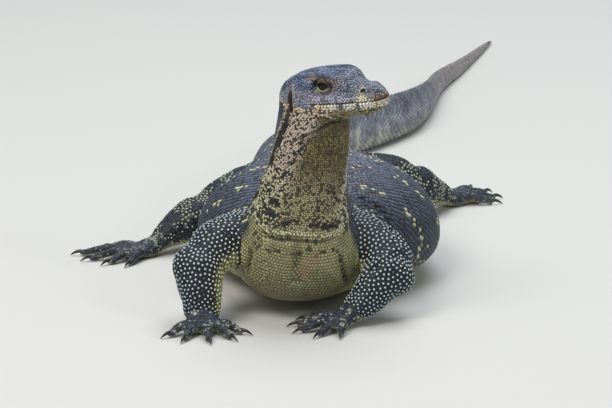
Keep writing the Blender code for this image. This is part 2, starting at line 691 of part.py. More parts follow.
def main():
    for obj in list(bpy.data.objects):
        bpy.data.objects.remove(obj, do_unlink=True)
    spine = Loft(SPINE, square=False)
    trunk_end = spine.place_of(1, 0)
    cuts = [0.0] + [spine.place_of(1, y, 0, trunk_end) for y in TAIL_CUTS_Y]
    cuts += [spine.place_of(2, NECK_CUT_Z, trunk_end), spine.length]
    tails_torso_neck = spine_solids(spine, cuts)
    torso, neck = tails_torso_neck[-2:]

    def body_cut():
        solids = spine_solids(spine, cuts)
        for solid in solids[:-3]:
            bpy.data.objects.remove(solid)
        return [swell(solid) for solid in solids[-3:]]

    for solid in tails_torso_neck[:-1]:
        trim(solid, [])
    solve(neck, [swell(head_solid("cut"))], "DIFFERENCE")
    head, jaw, eyes = make_head()
    flesh = tails_torso_neck + [head, jaw]
    claws = []
    for upper, lower, foot, words in LIMBS:
        pieces, nails = make_limb(upper, lower, foot, words, body_cut)
        flesh += pieces
        claws += nails
    for obj in flesh:
        colour, roughness = FINISHES[obj.name.split("_")[0]]
        obj.data.materials.append(plain_material(obj.name + "_skin", colour, roughness))
    for obj in eyes:
        obj.data.materials.append(plain_material(obj.name + "_glass", (0.015, 0.012, 0.01), 0.08))
    for obj in claws:
        obj.data.materials.append(plain_material(obj.name + "_horn", (0.02, 0.021, 0.025), 0.3))
    for obj in flesh + eyes + claws:
        obj.data.shade_smooth()
        obj.data.set_sharp_from_angle(angle=math.radians(50))


main()
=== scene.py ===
"""The looks of the water monitor: one skin with its scales, eyes, lids and claws, seen as in the photo.

The same tables as the solids' give closed forms. One skin is drawn over the forms, and gets its folds,
mouth, pits and lids. Sites for scales are set on the skin, in rows on the spine and scattered on head
and limbs. Each piece of the coat is a mesh of small domes on such sites, painted by place. All places
are in millimetres from the datum, and mesh_object turns them into the frame's metres."""

import json
import math

import bmesh
import bpy
import numpy as np
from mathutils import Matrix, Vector
from mathutils.bvhtree import BVHTree
from mathutils.kdtree import KDTree

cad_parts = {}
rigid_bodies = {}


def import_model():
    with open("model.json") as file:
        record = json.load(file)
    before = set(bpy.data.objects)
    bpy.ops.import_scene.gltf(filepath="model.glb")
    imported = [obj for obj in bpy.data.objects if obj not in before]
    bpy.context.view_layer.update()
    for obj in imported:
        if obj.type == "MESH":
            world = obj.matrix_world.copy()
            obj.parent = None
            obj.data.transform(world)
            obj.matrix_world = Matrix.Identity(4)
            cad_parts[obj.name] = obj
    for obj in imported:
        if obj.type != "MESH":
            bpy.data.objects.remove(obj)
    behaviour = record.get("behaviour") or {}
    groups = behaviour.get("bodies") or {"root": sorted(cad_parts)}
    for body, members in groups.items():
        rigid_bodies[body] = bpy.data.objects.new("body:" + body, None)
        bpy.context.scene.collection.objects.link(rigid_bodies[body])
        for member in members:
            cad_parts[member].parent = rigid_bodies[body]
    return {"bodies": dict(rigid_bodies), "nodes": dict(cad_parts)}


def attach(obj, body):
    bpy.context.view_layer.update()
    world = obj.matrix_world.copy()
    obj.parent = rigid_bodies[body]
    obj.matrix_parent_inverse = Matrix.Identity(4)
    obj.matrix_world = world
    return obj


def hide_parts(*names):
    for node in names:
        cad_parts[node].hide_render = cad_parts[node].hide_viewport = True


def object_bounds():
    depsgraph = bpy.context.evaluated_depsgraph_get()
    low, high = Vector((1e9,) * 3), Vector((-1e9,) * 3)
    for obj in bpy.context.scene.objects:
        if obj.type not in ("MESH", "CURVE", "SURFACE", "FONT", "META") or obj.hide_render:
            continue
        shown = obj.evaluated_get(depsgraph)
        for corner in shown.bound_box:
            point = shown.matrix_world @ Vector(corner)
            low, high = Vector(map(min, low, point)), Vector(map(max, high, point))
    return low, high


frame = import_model()
cad_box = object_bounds()
BODY = next(iter(frame["bodies"]))

MM = 0.001
# From the datum, on the ground between the shoulders, to the frame's origin, in millimetres
ORIGIN = np.array((-6.4, 610.6, 0.0))
UP = (0, 0, 1)
rng = np.random.default_rng(7)

# The spine from tail tip to nape. Each row is a section: centre x, y, z, half width, height above
# the centre, depth below it, the two roundness powers above and below, and the dorsal direction.
SPINE = (
    (249, 1352, 3, 1.6, 2.5, 3, 2.0, 2.0, UP),
    (240, 1317, 4, 3.0, 4.5, 4, 1.9, 2.0, UP),
    (205, 1180, 8, 5.5, 11, 9, 1.8, 2.0, UP),
    (167, 1040, 13, 8.5, 18, 14, 1.7, 2.0, UP),
    (155, 965, 16, 11, 21, 17, 1.7, 2.0, UP),
    (142, 895, 20, 14, 26, 21, 1.7, 2.0, UP),
    (122, 828, 24, 17, 30, 25, 1.7, 2.1, UP),
    (90, 772, 26, 20, 32, 27, 1.7, 2.1, UP),
    (50, 712, 28, 22, 34, 29, 1.7, 2.1, UP),
    (15, 635, 31, 26, 37, 32, 1.8, 2.1, UP),
    (-8, 550, 35, 30, 41, 36, 1.8, 2.1, UP),
    (-20, 470, 41, 37, 48, 40, 1.9, 2.1, UP),
    (-20, 420, 46, 44, 54, 42, 1.9, 2.1, UP),
    (-14, 375, 50, 52, 57, 46, 2.0, 2.2, UP),
    (-3, 325, 51, 70, 62, 50, 2.0, 2.3, UP),
    (10, 270, 50, 98, 67, 51, 2.0, 2.4, UP),
    (17, 210, 50, 124, 77, 52, 2.0, 2.5, UP),
    (13, 150, 50, 133, 81, 52, 2.0, 2.5, UP),
    (5, 95, 54, 116, 74, 54, 2.0, 2.4, UP),
    (-3, 50, 60, 88, 62, 55, 2.1, 2.3, UP),
    (-8, 15, 66, 70, 54, 56, 2.2, 2.3, (0, 0.20, 0.98)),
    (-9, -8, 79, 63, 51, 60, 2.2, 2.4, (0, 0.57, 0.82)),
    (-8, -20, 104, 55, 44, 49, 2.1, 2.2, (-0.1, 0.86, 0.50)),
    (-4, -22, 134, 48, 40, 42, 2.0, 2.0, (-0.25, 0.95, 0.18)),
    (2, -24, 166, 42, 40, 41, 2.0, 2.0, (-0.45, 0.89, 0)),
    (7, -26, 199, 38.5, 42.5, 40, 2.0, 2.0, (-0.65, 0.76, 0)),
    (8, -27, 226, 33, 39, 38, 2.0, 2.0, (-0.80, 0.60, 0.1)),
    (2, -22, 250, 28, 30, 24, 2.0, 2.0, (-0.84, 0.53, 0.2)),
)
# The head, in its own frame: X ahead, Y to its left, Z up, and the mouth's line at Z = 0.
HEAD_YAW = math.radians(57.5)
HEAD_PITCH = math.radians(4.9)
HEAD_ROLL = math.radians(6.8)
HEAD_PLACE = np.array((-3.3, -20.0, 242.6))
HEAD_SCALE = 1.036
# Each row: X, half width, height above the mouth's line, depth below it, the two roundness powers
HEAD = (
    (-21, 15, 13, 12, 2.1, 2.1),
    (-15, 21.5, 17.5, 17, 2.1, 2.1),
    (-7, 27.5, 21.5, 22, 2.2, 2.1),
    (4, 31.8, 25, 25, 2.4, 2.2),
    (18, 32, 28, 24, 2.7, 2.3),
    (32, 30, 29.5, 22.5, 3.0, 2.3),
    (46, 26.5, 29.5, 21, 3.4, 2.4),
    (56, 23.8, 28, 19.8, 3.6, 2.4),
    (63, 21.6, 26.2, 18.8, 3.5, 2.4),
    (69, 19.8, 19.4, 18, 3.2, 2.4),
    (75, 18, 15.8, 17.8, 3.2, 2.4),
    (83, 14.8, 15.9, 16.4, 3.2, 2.4),
    (91, 10.8, 14.4, 13.6, 2.8, 2.3),
    (97, 7.4, 11, 9.6, 2.5, 2.2),
    (101, 4.4, 7.6, 5.4, 2.2, 2.1),
    (103.2, 1.6, 4.2, 1.0, 2.0, 2.0),
)
# Swellings and hollows of the head: X, Y, Z, the reach along X and across it, and the height
HEAD_FORMS = (
    (53, 20, 26, 11, 5, 2.2),
    (40, 25, 15, 9, 7, -2.6),
    (71, 18, 10, 7, 6, -1.4),
    (86, 12, 9, 8, 7, 1.0),
    (12, 32, -4, 15, 13, 2.6),
    (-8, 30, 12, 9, 9, -1.5),
    (58, 0, 31, 14, 8, -1.2),
)
HEAD_REAR = 5
# How much the head's sections are drawn together towards the mouth's line
SECTION_CROWDING = 0.35
# The lips: how far they stand out, their height from the mouth's line, their reach up and down, and
# the lengths over which they start behind and end at the tip
LIP_HEIGHT = 0.9
LIP_LEVEL = 3.6
LIP_REACH = 2.2
LIP_START = 12
LIP_EARLY = 0.67
LIP_END = (102, 6)
LIP_FACING = 0.3
MOUTH_CORNER = 30
MOUTH_LINE = ((MOUTH_CORNER, 0), (60, -0.3), (90, 0), (97, 0.7), (103, 2.0), (112, 2.4))
EYE_PLACE = (40, 16.8, 17)
EYE_RADIUS = 7.2
LID_RADIUS = 8.6
EYE_OPENING = (5.8, 4.8)
EAR_PLACE = (5.5, 33, 1.5)
EAR_SIZE = (3.8, 5.0, 12)
NOSTRIL_PLACE = (82, 16.2, 10.9)
NOSTRIL_SIZE = (2.3, 2.6, 1.7)

# The limbs. Rows are as the spine's without the roundness powers, from the body outward.
LIMB_ROUNDNESS = (2.1, 2.1)
UPPER_ARM_LEFT = (
    (28, 30, 78, 24, 25, 24, (0, 0.3, 1)),
    (48, 22, 80, 28, 27, 27, (0, 0.3, 1)),
    (69, 8, 74, 27, 26, 28, (0, 0.3, 1)),
    (86, -8, 63, 25, 25, 28, (0.2, 0.3, 1)),
    (93, -17, 57, 23, 24, 26, (0.3, 0.3, 1)),
)
FOREARM_LEFT = (
    (91, -16, 60, 15, 15, 15, (0.8, 0.3, 0.5)),
    (90, -20, 55, 25, 26, 25, (0.8, 0.3, 0.5)),
    (77, -34, 40, 23, 25, 24, (0.6, 0.3, 0.7)),
    (62, -46, 24, 18, 19, 18, (0.5, 0.3, 0.8)),
    (50, -54, 15, 16, 14, 13, (0.4, 0.2, 0.9)),
)
UPPER_ARM_RIGHT = (
    (-38, 24, 78, 24, 25, 24, (0, 0.3, 1)),
    (-58, 15, 82, 28, 27, 28, (0, 0.3, 1)),
    (-79, -4, 82, 27, 27, 30, (0, 0.3, 1)),
    (-98, -22, 77, 26, 26, 29, (-0.2, 0.3, 1)),
    (-107, -32, 70, 23, 24, 26, (-0.3, 0.3, 1)),
)
FOREARM_RIGHT = (
    (-107, -32, 76, 14, 14, 14, (-0.8, 0.3, 0.3)),
    (-111, -36, 68, 25, 26, 25, (-0.8, 0.3, 0.3)),
    (-112, -48, 46, 25, 25, 24, (-0.6, 0.6, 0.3)),
    (-110, -58, 26, 21, 19, 19, (-0.2, 0.8, 0.4)),
    (-110, -64, 15, 20, 14, 14, (0, 0.8, 0.7)),
)
THIGH_LEFT = (
    (20, 366, 52, 26, 28, 26, UP),
    (45, 370, 54, 30, 31, 29, UP),
    (76, 374, 53, 30, 31, 29, UP),
    (103, 380, 49, 27, 29, 27, UP),
    (117, 386, 44, 22, 24, 23, UP),
)
SHIN_LEFT = (
    (109, 383, 42, 14, 14, 14, UP),
    (122, 394, 41, 23, 23, 24, UP),
    (137, 418, 30, 21, 21, 22, UP),
    (152, 440, 21, 15, 15, 16, UP),
    (161, 455, 14, 13, 11, 12, UP),
)
THIGH_RIGHT = (
    (-30, 352, 52, 26, 28, 26, UP),
    (-52, 330, 54, 30, 31, 29, UP),
    (-78, 306, 50, 29, 29, 29, UP),
    (-100, 290, 44, 25, 25, 27, UP),
    (-112, 281, 40, 21, 21, 23, UP),
)
SHIN_RIGHT = (
    (-106, 285, 42, 14, 14, 14, UP),
    (-119, 274, 38, 23, 22, 23, UP),
    (-138, 259, 30, 21, 21, 22, UP),
    (-156, 246, 21, 15, 15, 16, UP),
    (-166, 239, 14, 13, 11, 12, UP),
)
# Each foot: wrist or ankle x, y, z, the way it points in degrees from -Y towards +X, the palm's
# length and half width, then for each toe its spread in degrees and its length.
HANDS = {
    "left": ((50, -54, 13), -62, 30, 15, ((-52, 30), (-24, 38), (2, 42), (28, 38), (58, 28))),
    "right": ((-111, -64, 13), 8, 26, 19, ((-56, 28), (-26, 36), (2, 40), (28, 38), (58, 30))),
}
FEET = {
    "left": ((161, 455, 12), 133, 34, 15, ((-38, 34), (-14, 46), (8, 56), (28, 62), (62, 36))),
    "right": ((-166, 239, 12), -62, 34, 15, ((-62, 36), (-28, 62), (-8, 56), (14, 46), (38, 34))),
}
LIMBS = (
    (UPPER_ARM_LEFT, FOREARM_LEFT, HANDS["left"], ("upper_arm", "forearm", "hand", "left")),
    (UPPER_ARM_RIGHT, FOREARM_RIGHT, HANDS["right"], ("upper_arm", "forearm", "hand", "right")),
    (THIGH_LEFT, SHIN_LEFT, FEET["left"], ("thigh", "shin", "foot", "left")),
    (THIGH_RIGHT, SHIN_RIGHT, FEET["right"], ("thigh", "shin", "foot", "right")),
)
TOE_RADIUS = 5.2
# Along each toe: the share of its length, the height of its middle and the share of its radius
TOE_ROWS = ((0, 8.0, 1.25), (0.30, 9.5, 1.12), (0.62, 8.0, 0.98), (0.88, 4.6, 0.86), (1, 3.0, 0.76))
# Where the toes start: the share of the palm's length ahead and of its half width to the side
TOE_ROOT = (0.62, 0.8)
TOE_DEPTH = 0.95
# Along each palm: the share of its length and of its half width, the height of its middle above
# the wrist where the last number is 1 or above the ground where it is 0, the height and the depth
PALM_ROWS = (
    (-0.15, 0.72, 1, 10, 12, 1),
    (0.2, 0.86, -1, 11, 12, 1),
    (0.55, 1.0, 8, 9, 9.5, 0),
    (0.95, 0.96, 6.5, 7, 8, 0),
)
CLAW_LENGTH = 14
CLAW_RADIUS = 2.5
CLAW_TIP = 0.3
CLAW_ARCH = 2.6
CLAW_CLEARANCE = 0.5
CLAW_TAPER = 0.7
CLAW_NARROWING = 0.75
CLAW_ROOT = 2
CLAW_LIFT = 0.6
CLAW_FLATTENING = 0.4


def hermite(keys, values, at):
    """Values on a smooth curve through the keys, with the slope at each key taken from its neighbours."""
    keys = np.asarray(keys, float)
    values = np.asarray(values, float)
    steps = np.diff(keys)
    rises = np.diff(values, axis=0) / steps[:, None]
    slopes = np.empty_like(values)
    slopes[0], slopes[-1] = rises[0], rises[-1]
    before, after = steps[:-1, None], steps[1:, None]
    slopes[1:-1] = (rises[:-1] * after + rises[1:] * before) / (before + after)
    at = np.clip(at, keys[0], keys[-1])
    i = np.clip(np.searchsorted(keys, at, side="right") - 1, 0, len(keys) - 2)
    width = steps[i][:, None]
    u = ((at - keys[i]) / steps[i])[:, None]
    return (
        values[i] * (1 + 2 * u) * (1 - u) ** 2
        + slopes[i] * width * u * (1 - u) ** 2
        + values[i + 1] * u**2 * (3 - 2 * u)
        - slopes[i + 1] * width * u**2 * (1 - u)
    )


# How far before and behind a place the direction of a loft's line is taken
STEP = 0.5


class Loft:
    """Sections along a smooth line. A place on it is given by its length from the first section.
    The sections of a square loft stand square to the line, and the others keep their own slant."""

    def __init__(self, table, square=True):
        self.square = square
        self.rows = np.array([list(row[:8]) + list(row[8]) for row in table], float)
        steps = np.linalg.norm(np.diff(self.rows[:, :3], axis=0), axis=1)
        self.keys = np.concatenate([[0], np.cumsum(steps)])
        self.length = self.keys[-1]

    def at(self, places):
        """Centres, frames (side, dorsal, forward) and sizes at these places."""
        places = np.atleast_1d(np.asarray(places, float))
        rows = hermite(self.keys, self.rows, places)
        line = self.rows[:, :3]
        forward = hermite(self.keys, line, places + STEP) - hermite(self.keys, line, places - STEP)
        forward /= np.linalg.norm(forward, axis=1)[:, None]
        dorsal = rows[:, 8:11]
        if self.square:
            dorsal = dorsal - forward * np.sum(dorsal * forward, axis=1)[:, None]
        dorsal = dorsal / np.linalg.norm(dorsal, axis=1)[:, None]
        side = np.cross(dorsal, forward)
        side /= np.linalg.norm(side, axis=1)[:, None]
        return rows[:, :3], side, dorsal, forward, rows[:, 3:8]

    def place_of(self, axis, value, low=0.0, high=None):
        """The place where the line's x, y or z passes this value."""
        high = self.length if high is None else high
        places = np.linspace(low, high, 2000)
        line = hermite(self.keys, self.rows[:, :3], places)[:, axis]
        return places[np.argmin(np.abs(line - value))]


def head_axes():
    """The head's three axes in the world, as rows."""
    cy, sy = math.cos(HEAD_YAW), math.sin(HEAD_YAW)
    cp, sp = math.cos(HEAD_PITCH), math.sin(HEAD_PITCH)
    cr, sr = math.cos(HEAD_ROLL), math.sin(HEAD_ROLL)
    ahead = np.array((cp * sy, -cp * cy, sp))
    left = np.array((cy, sy, 0.0))
    up = np.cross(ahead, left)
    return np.array((ahead, cr * left + sr * up, cr * up - sr * left))


def from_head(points):
    """World places, in millimetres from the datum, of places in the head's frame."""
    return HEAD_PLACE + HEAD_SCALE * np.asarray(points, float) @ head_axes()


def head_section(x, sides):
    """One ring of the head at this X, with its swellings, hollows and lips."""
    table = np.array(HEAD, float)
    width, above, below, power_above, power_below = hermite(table[:, 0], table[:, 1:], np.array([x]))[0]
    angles = np.arange(sides) * 2 * math.pi / sides
    angles = angles - SECTION_CROWDING * np.sin(2 * angles) / 2
    cos, sin = np.cos(angles), np.sin(angles)
    power = np.where(sin >= 0, power_above, power_below)
    height = np.where(sin >= 0, above, below)
    y = width * np.sign(cos) * np.abs(cos) ** (2 / power)
    z = height * np.sign(sin) * np.abs(sin) ** (2 / power)
    out = np.stack((y / width**2, z / height**2), axis=1)
    out /= np.linalg.norm(out, axis=1)[:, None]
    push = np.zeros(sides)
    for fx, fy, fz, reach, across, rise in HEAD_FORMS:
        near = ((x - fx) / reach) ** 2 + ((np.abs(y) - fy) ** 2 + (z - fz) ** 2) / across**2
        push = push + rise * np.exp(-near)
    lips = np.exp(-(((np.abs(z) - LIP_LEVEL) / LIP_REACH) ** 2)) * (np.abs(cos) > LIP_FACING)
    lips *= np.clip((x - MOUTH_CORNER) / LIP_START + LIP_EARLY, 0, 1)
    lips *= np.clip((LIP_END[0] - x) / LIP_END[1], 0, 1)
    push = push + LIP_HEIGHT * lips
    y = y + out[:, 0] * push
    z = z + out[:, 1] * push
    return np.stack((np.full(sides, x), y, z), axis=1)


def heading(degrees):
    """The level direction this far round from -Y towards +X."""
    angle = math.radians(degrees)
    return np.array((math.sin(angle), -math.cos(angle), 0.0))


def limb_loft(table):
    """The loft of one length of a limb."""
    return Loft([row[:6] + LIMB_ROUNDNESS + row[6:] for row in table])


def toe_line(foot, toe):
    """The places along one toe and its radii, from inside the palm to the tip."""
    (x, y, _), turn, palm, half_width, toes = foot
    spread, length = toes[toe]
    ahead, out = heading(turn), heading(turn + spread)
    across = math.sin(math.radians(spread)) * half_width * TOE_ROOT[1]
    root = np.array((x, y, 0)) + ahead * palm * TOE_ROOT[0] + heading(turn + 90) * across
    line = []
    for share, level, size in TOE_ROWS:
        place = root + out * length * share
        line.append((place[0], place[1], level, TOE_RADIUS * size))
    return line, out




def place(points):
    """Frame places in metres of datum places in millimetres."""
    return (np.asarray(points, float) - ORIGIN) * MM


def smooth_step(low, high, value):
    """0 below low, 1 above high, and smooth between."""
    t = np.clip((value - low) / (high - low), 0, 1)
    return t * t * (3 - 2 * t)


def unit(vectors):
    """The same vectors with length 1."""
    return vectors / np.maximum(np.linalg.norm(vectors, axis=-1, keepdims=True), 1e-9)


def noise(points, size, seed=0):
    """Smooth noise from 0 to 1, with cells of this size in millimetres."""
    cell = np.asarray(points, float) / size + 1000
    base = np.floor(cell).astype(np.int64)
    part = cell - base
    part = part * part * (3 - 2 * part)
    total = np.zeros(len(cell))
    for corner in range(8):
        offset = np.array((corner & 1, corner >> 1 & 1, corner >> 2))
        key = (base + offset) @ np.array((73856093, 19349663, 83492791)) + seed * 92837111
        key = ((key ^ (key >> 13)) * 1274126177) & 0xFFFFFFFF
        key = ((key ^ (key >> 15)) * 668265263) & 0xFFFFFFFF
        total += np.prod(np.where(offset, part, 1 - part), axis=1) * (key >> 16) / 0xFFFF
    return total


def bell(value, centre, width, power=2):
    """1 where the value is at the centre, and falling away over this width on both sides."""
    return np.exp(-(((value - centre) / width) ** power))


def within(points, low, high):
    """Which of the points lie in the box between these corners."""
    return np.all((points > low) & (points < high), axis=1)


def tree_of(points):
    """A tree that finds the nearest of these points."""
    tree = KDTree(len(points))
    for k, point in enumerate(points):
        tree.insert(point, k)
    tree.balance()
    return tree


# No piece reaches further out than the CAD's box less this, in metres
BOX_MARGIN = 0.00003


def mesh_object(name, points, faces):
    """A mesh object of datum places, whose faces are an array with as many columns as corners."""
    mesh = bpy.data.meshes.new(name)
    faces = np.asarray(faces, np.int32)
    corners = faces.shape[1]
    mesh.vertices.add(len(points))
    inside = np.clip(place(points), np.array(cad_box[0]) + BOX_MARGIN, np.array(cad_box[1]) - BOX_MARGIN)
    mesh.vertices.foreach_set("co", inside.astype(np.float32).ravel())
    mesh.loops.add(faces.size)
    mesh.loops.foreach_set("vertex_index", faces.ravel())
    mesh.polygons.add(len(faces))
    mesh.polygons.foreach_set("loop_start", np.arange(len(faces), dtype=np.int32) * corners)
    mesh.update(calc_edges=True)
    mesh.shade_smooth()
    obj = bpy.data.objects.new(name, mesh)
    bpy.context.scene.collection.objects.link(obj)
    return obj


def paint(obj, colours):
    """Give each vertex its colour, in linear light."""
    layer = obj.data.color_attributes.new("Paint", "FLOAT_COLOR", "POINT")
    rgba = np.concatenate([colours, np.ones((len(colours), 1))], axis=1)
    layer.data.foreach_set("color", rgba.astype(np.float32).ravel())


def rings_of(loft, places, sides):
    """The loft's rings at these places, each from the ventral midline round by the left side."""
    centre, side, dorsal, _, sizes = loft.at(places)
    angles = np.arange(sides) * 2 * math.pi / sides - math.pi / 2
    cos, sin = np.cos(angles)[None, :], np.sin(angles)[None, :]
    width, above, below, power_above, power_below = (sizes[:, k : k + 1] for k in range(5))
    power = np.where(sin >= 0, power_above, power_below)
    height = np.where(sin >= 0, above, below)
    across = width * np.sign(cos) * np.abs(cos) ** (2 / power)
    along = height * np.sign(sin) * np.abs(sin) ** (2 / power)
    return centre[:, None] + across[..., None] * side[:, None] + along[..., None] * dorsal[:, None]


DOME_STEPS = 6


def domed(rings, start, end, steps=DOME_STEPS):
    """The rings with a dome of these depths added at each end, and the domes' two poles."""
    ends = []
    for ring, inner, depth in ((rings[0], rings[1], start), (rings[-1], rings[-2], end)):
        centre = ring.mean(axis=0)
        outward = unit(centre - inner.mean(axis=0))
        turns = np.arange(1, steps) * math.pi / 2 / steps
        made = [centre + (ring - centre) * math.cos(a) + outward * depth * math.sin(a) for a in turns]
        ends.append((made, centre + outward * depth))
    (before, first), (after, last) = ends
    return np.array(before[::-1] + list(rings) + after), first, last


def tube_faces(rows, columns):
    """Triangles between each ring of a grid of places and the next."""
    first = (np.arange(rows - 1)[:, None] * columns + np.arange(columns)).ravel()
    beside = first - first % columns + (first + 1) % columns
    walls = [first, beside, beside + columns, first, beside + columns, first + columns]
    return np.stack(walls, axis=1).reshape(-1, 3)


# The depth of a limb's end domes, as a share of its half width there
LIMB_DOME = 0.7


class Form:
    """One closed form of the body. blend is how far its joins with other forms are rounded."""

    def __init__(self, rings, first, last, blend):
        count, sides = rings.shape[:2]
        self.blend = blend
        self.points = np.concatenate([rings.reshape(-1, 3), [first], [last]])
        rim = np.arange(sides)
        pole, top = count * sides, (count - 1) * sides
        near = np.stack([(rim + 1) % sides, rim, np.full(sides, pole)], axis=1)
        far = np.stack([top + rim, top + (rim + 1) % sides, np.full(sides, pole + 1)], axis=1)
        self.faces = np.concatenate([tube_faces(count, sides), near, far])
        corners = self.points[self.faces]
        volume = np.sum(corners[:, 0] * np.cross(corners[:, 1], corners[:, 2]))
        if volume < 0:
            self.faces = self.faces[:, ::-1]
        self.low, self.high = self.points.min(axis=0), self.points.max(axis=0)
        self.ring_share = np.concatenate([np.repeat(np.arange(count) / (count - 1), sides), (0, 1)])
        self.side_share = np.concatenate([np.tile(np.arange(sides) / sides, count), (0, 0)])
        self.tree = BVHTree.FromPolygons([tuple(p) for p in self.points], self.faces.tolist())

    def holds(self, point, margin):
        """Whether the point lies deeper than the margin inside the form."""
        if np.any(point < self.low) or np.any(point > self.high):
            return False
        near, normal, _, distance = self.tree.find_nearest(point)
        return (Vector(point) - near).dot(normal) < 0 and distance > margin


def limb_form(table, blend):
    """One length of a limb."""
    loft = limb_loft(table)
    rings = rings_of(loft, np.linspace(0, loft.length, int(loft.length / 3)), 40)
    return Form(*domed(rings, loft.rows[0, 3] * LIMB_DOME, loft.rows[-1, 3] * LIMB_DOME), blend)


def palm_loft(foot):
    """The palm or sole, a low tube from the wrist to the roots of the toes."""
    (x, y, z), turn, palm, half_width, _ = foot
    ahead = heading(turn)
    start = np.array((x, y, 0.0))
    table = []
    for share, width, level, above, below, on_wrist in PALM_ROWS:
        where = start + ahead * palm * share
        centre = z * on_wrist + level
        table.append((where[0], where[1], centre, half_width * width, above, below, 2.1, 2.3, UP))
    return Loft(table)


def toe_loft(foot, toe):
    """One toe, from inside the palm to its tip."""
    line, _ = toe_line(foot, toe)
    return Loft([(x, y, z, r, r, r * TOE_DEPTH, 2.0, 2.1, UP) for x, y, z, r in line])


HEAD_SIDES = 144
SNOUT_TIP = (103.6, 0, 2)


def head_form():
    """The whole head with its jaw, finely."""
    stations = np.concatenate([np.arange(HEAD[0][0], 100, 1.0), np.linspace(100, 103, 8)])
    rings = np.array([from_head(head_section(x, HEAD_SIDES)) for x in stations])
    rings = np.roll(rings, HEAD_SIDES // 4, axis=1)
    made, first, _ = domed(rings, HEAD_REAR, 1)
    return Form(made[: len(stations) + DOME_STEPS - 1], first, from_head(SNOUT_TIP), 7)


SPINE_LOFT = Loft(SPINE, square=False)
# Places along the spine: the furrow below the neck, the hips and the shoulders
GULAR = SPINE_LOFT.place_of(2, 94, SPINE_LOFT.place_of(1, 50), SPINE_LOFT.length) + 20
HIP = SPINE_LOFT.place_of(1, 375)
SHOULDER = SPINE_LOFT.place_of(1, 20, HIP, GULAR)


def body_forms():
    """Every form of the body by name."""
    rings = rings_of(SPINE_LOFT, np.arange(0, SPINE_LOFT.length, 3.0), 120)
    forms = {"spine": Form(*domed(rings, 2.5, 12), 16), "head": head_form()}
    for upper, lower, foot, (upper_name, lower_name, foot_name, side) in LIMBS:
        for name, table, blend in ((upper_name, upper, 16), (lower_name, lower, 11)):
            forms[f"{name}_{side}"] = limb_form(table, blend)
        palm = palm_loft(foot)
        rings = rings_of(palm, np.linspace(0, palm.length, 20), 40)
        forms[f"{foot_name}_{side}"] = Form(*domed(rings, 8, 5), 5)
        for toe in range(5):
            loft = toe_loft(foot, toe)
            rings = rings_of(loft, np.linspace(0, loft.length, 24), 24)
            forms[f"{foot_name}_{side}_toe_{toe + 1}"] = Form(*domed(rings, 3, TOE_RADIUS * 0.68), 2.5)
    return forms


SKIN_VOXEL = 3.4
GROUND_CLEARANCE = 0.15


def union_of(forms):
    """The outer surface of all forms as vertices and quads, from a voxel remesh."""
    points, faces, start = [], [], 0
    for form in forms.values():
        points.append(form.points)
        faces.append(form.faces + start)
        start += len(form.points)
    obj = mesh_object("union", np.concatenate(points), np.concatenate(faces))
    remesh = obj.modifiers.new("union", "REMESH")
    remesh.mode = "VOXEL"
    remesh.voxel_size = SKIN_VOXEL * MM
    graph = bpy.context.evaluated_depsgraph_get()
    mesh = bpy.data.meshes.new_from_object(obj.evaluated_get(graph))
    co = np.empty(len(mesh.vertices) * 3, np.float32)
    mesh.vertices.foreach_get("co", co)
    quads = np.empty(len(mesh.loops), np.int32)
    mesh.loops.foreach_get("vertex_index", quads)
    bpy.data.objects.remove(obj)
    return co.reshape(-1, 3).astype(float) / MM + ORIGIN, quads.reshape(-1, 4)


def average_of_neighbours(co, edges, count):
    """The mean place of each vertex's neighbours."""
    total = np.empty_like(co)
    ends = np.concatenate([edges[:, 0], edges[:, 1]])
    others = np.concatenate([edges[:, 1], edges[:, 0]])
    for axis in range(3):
        total[:, axis] = np.bincount(ends, weights=co[others, axis], minlength=len(co))
    return total / count[:, None]


def edges_of(faces):
    """Every edge of the faces once, and how many meet at each vertex."""
    pairs = np.concatenate([faces[:, [k, (k + 1) % faces.shape[1]]] for k in range(faces.shape[1])])
    pairs = np.unique(np.sort(pairs, axis=1), axis=0)
    return pairs, np.maximum(np.bincount(pairs.ravel()), 1)


# How soon the vertices near a join leave their form, how far each goes to its neighbours' mean in one
# pass, and the passes
JOIN_SLACK, JOIN_PULL, JOIN_PASSES = 3, 0.7, 22


def round_the_joins(co, quads, forms):
    """Put the vertices on their forms, and round the creases where two forms meet."""
    settled = co.copy()
    weight = np.zeros(len(co))
    boxes = [(form, form.low - form.blend, form.high + form.blend) for form in forms.values()]
    inside = [within(co, low, high) for _, low, high in boxes]
    candidates = [[] for _ in co]
    for (form, _, _), mask in zip(boxes, inside):
        for k in np.nonzero(mask)[0]:
            candidates[k].append(form)
    for k, near_forms in enumerate(candidates):
        found = []
        for form in near_forms:
            near, _, _, distance = form.tree.find_nearest(co[k])
            found.append((distance, form.blend, near))
        found.sort(key=lambda item: item[0])
        if found:
            settled[k] = found[0][2]
        if len(found) > 1:
            reach = min(found[0][1], found[1][1])
            weight[k] = max(0.0, 1 - found[1][0] / reach)
    keep = np.minimum(weight * JOIN_SLACK, 1)[:, None]
    co = settled * (1 - keep) + co * keep
    edges, count = edges_of(quads)
    pull = np.minimum(weight * 1.6, 1)[:, None] * JOIN_PULL
    for _ in range(JOIN_PASSES):
        co = co + (average_of_neighbours(co, edges, count) - co) * pull
    return co, weight


def to_head(points):
    """Places in the head's frame of datum places."""
    return (np.asarray(points, float) - HEAD_PLACE) @ head_axes().T / HEAD_SCALE


def normals_of(co, faces):
    """The unit normal at each vertex of a triangle mesh."""
    cross = np.cross(co[faces[:, 1]] - co[faces[:, 0]], co[faces[:, 2]] - co[faces[:, 0]])
    total = np.zeros_like(co)
    for axis in range(3):
        for corner in range(3):
            total[:, axis] += np.bincount(faces[:, corner], weights=cross[:, axis], minlength=len(co))
    return unit(total)


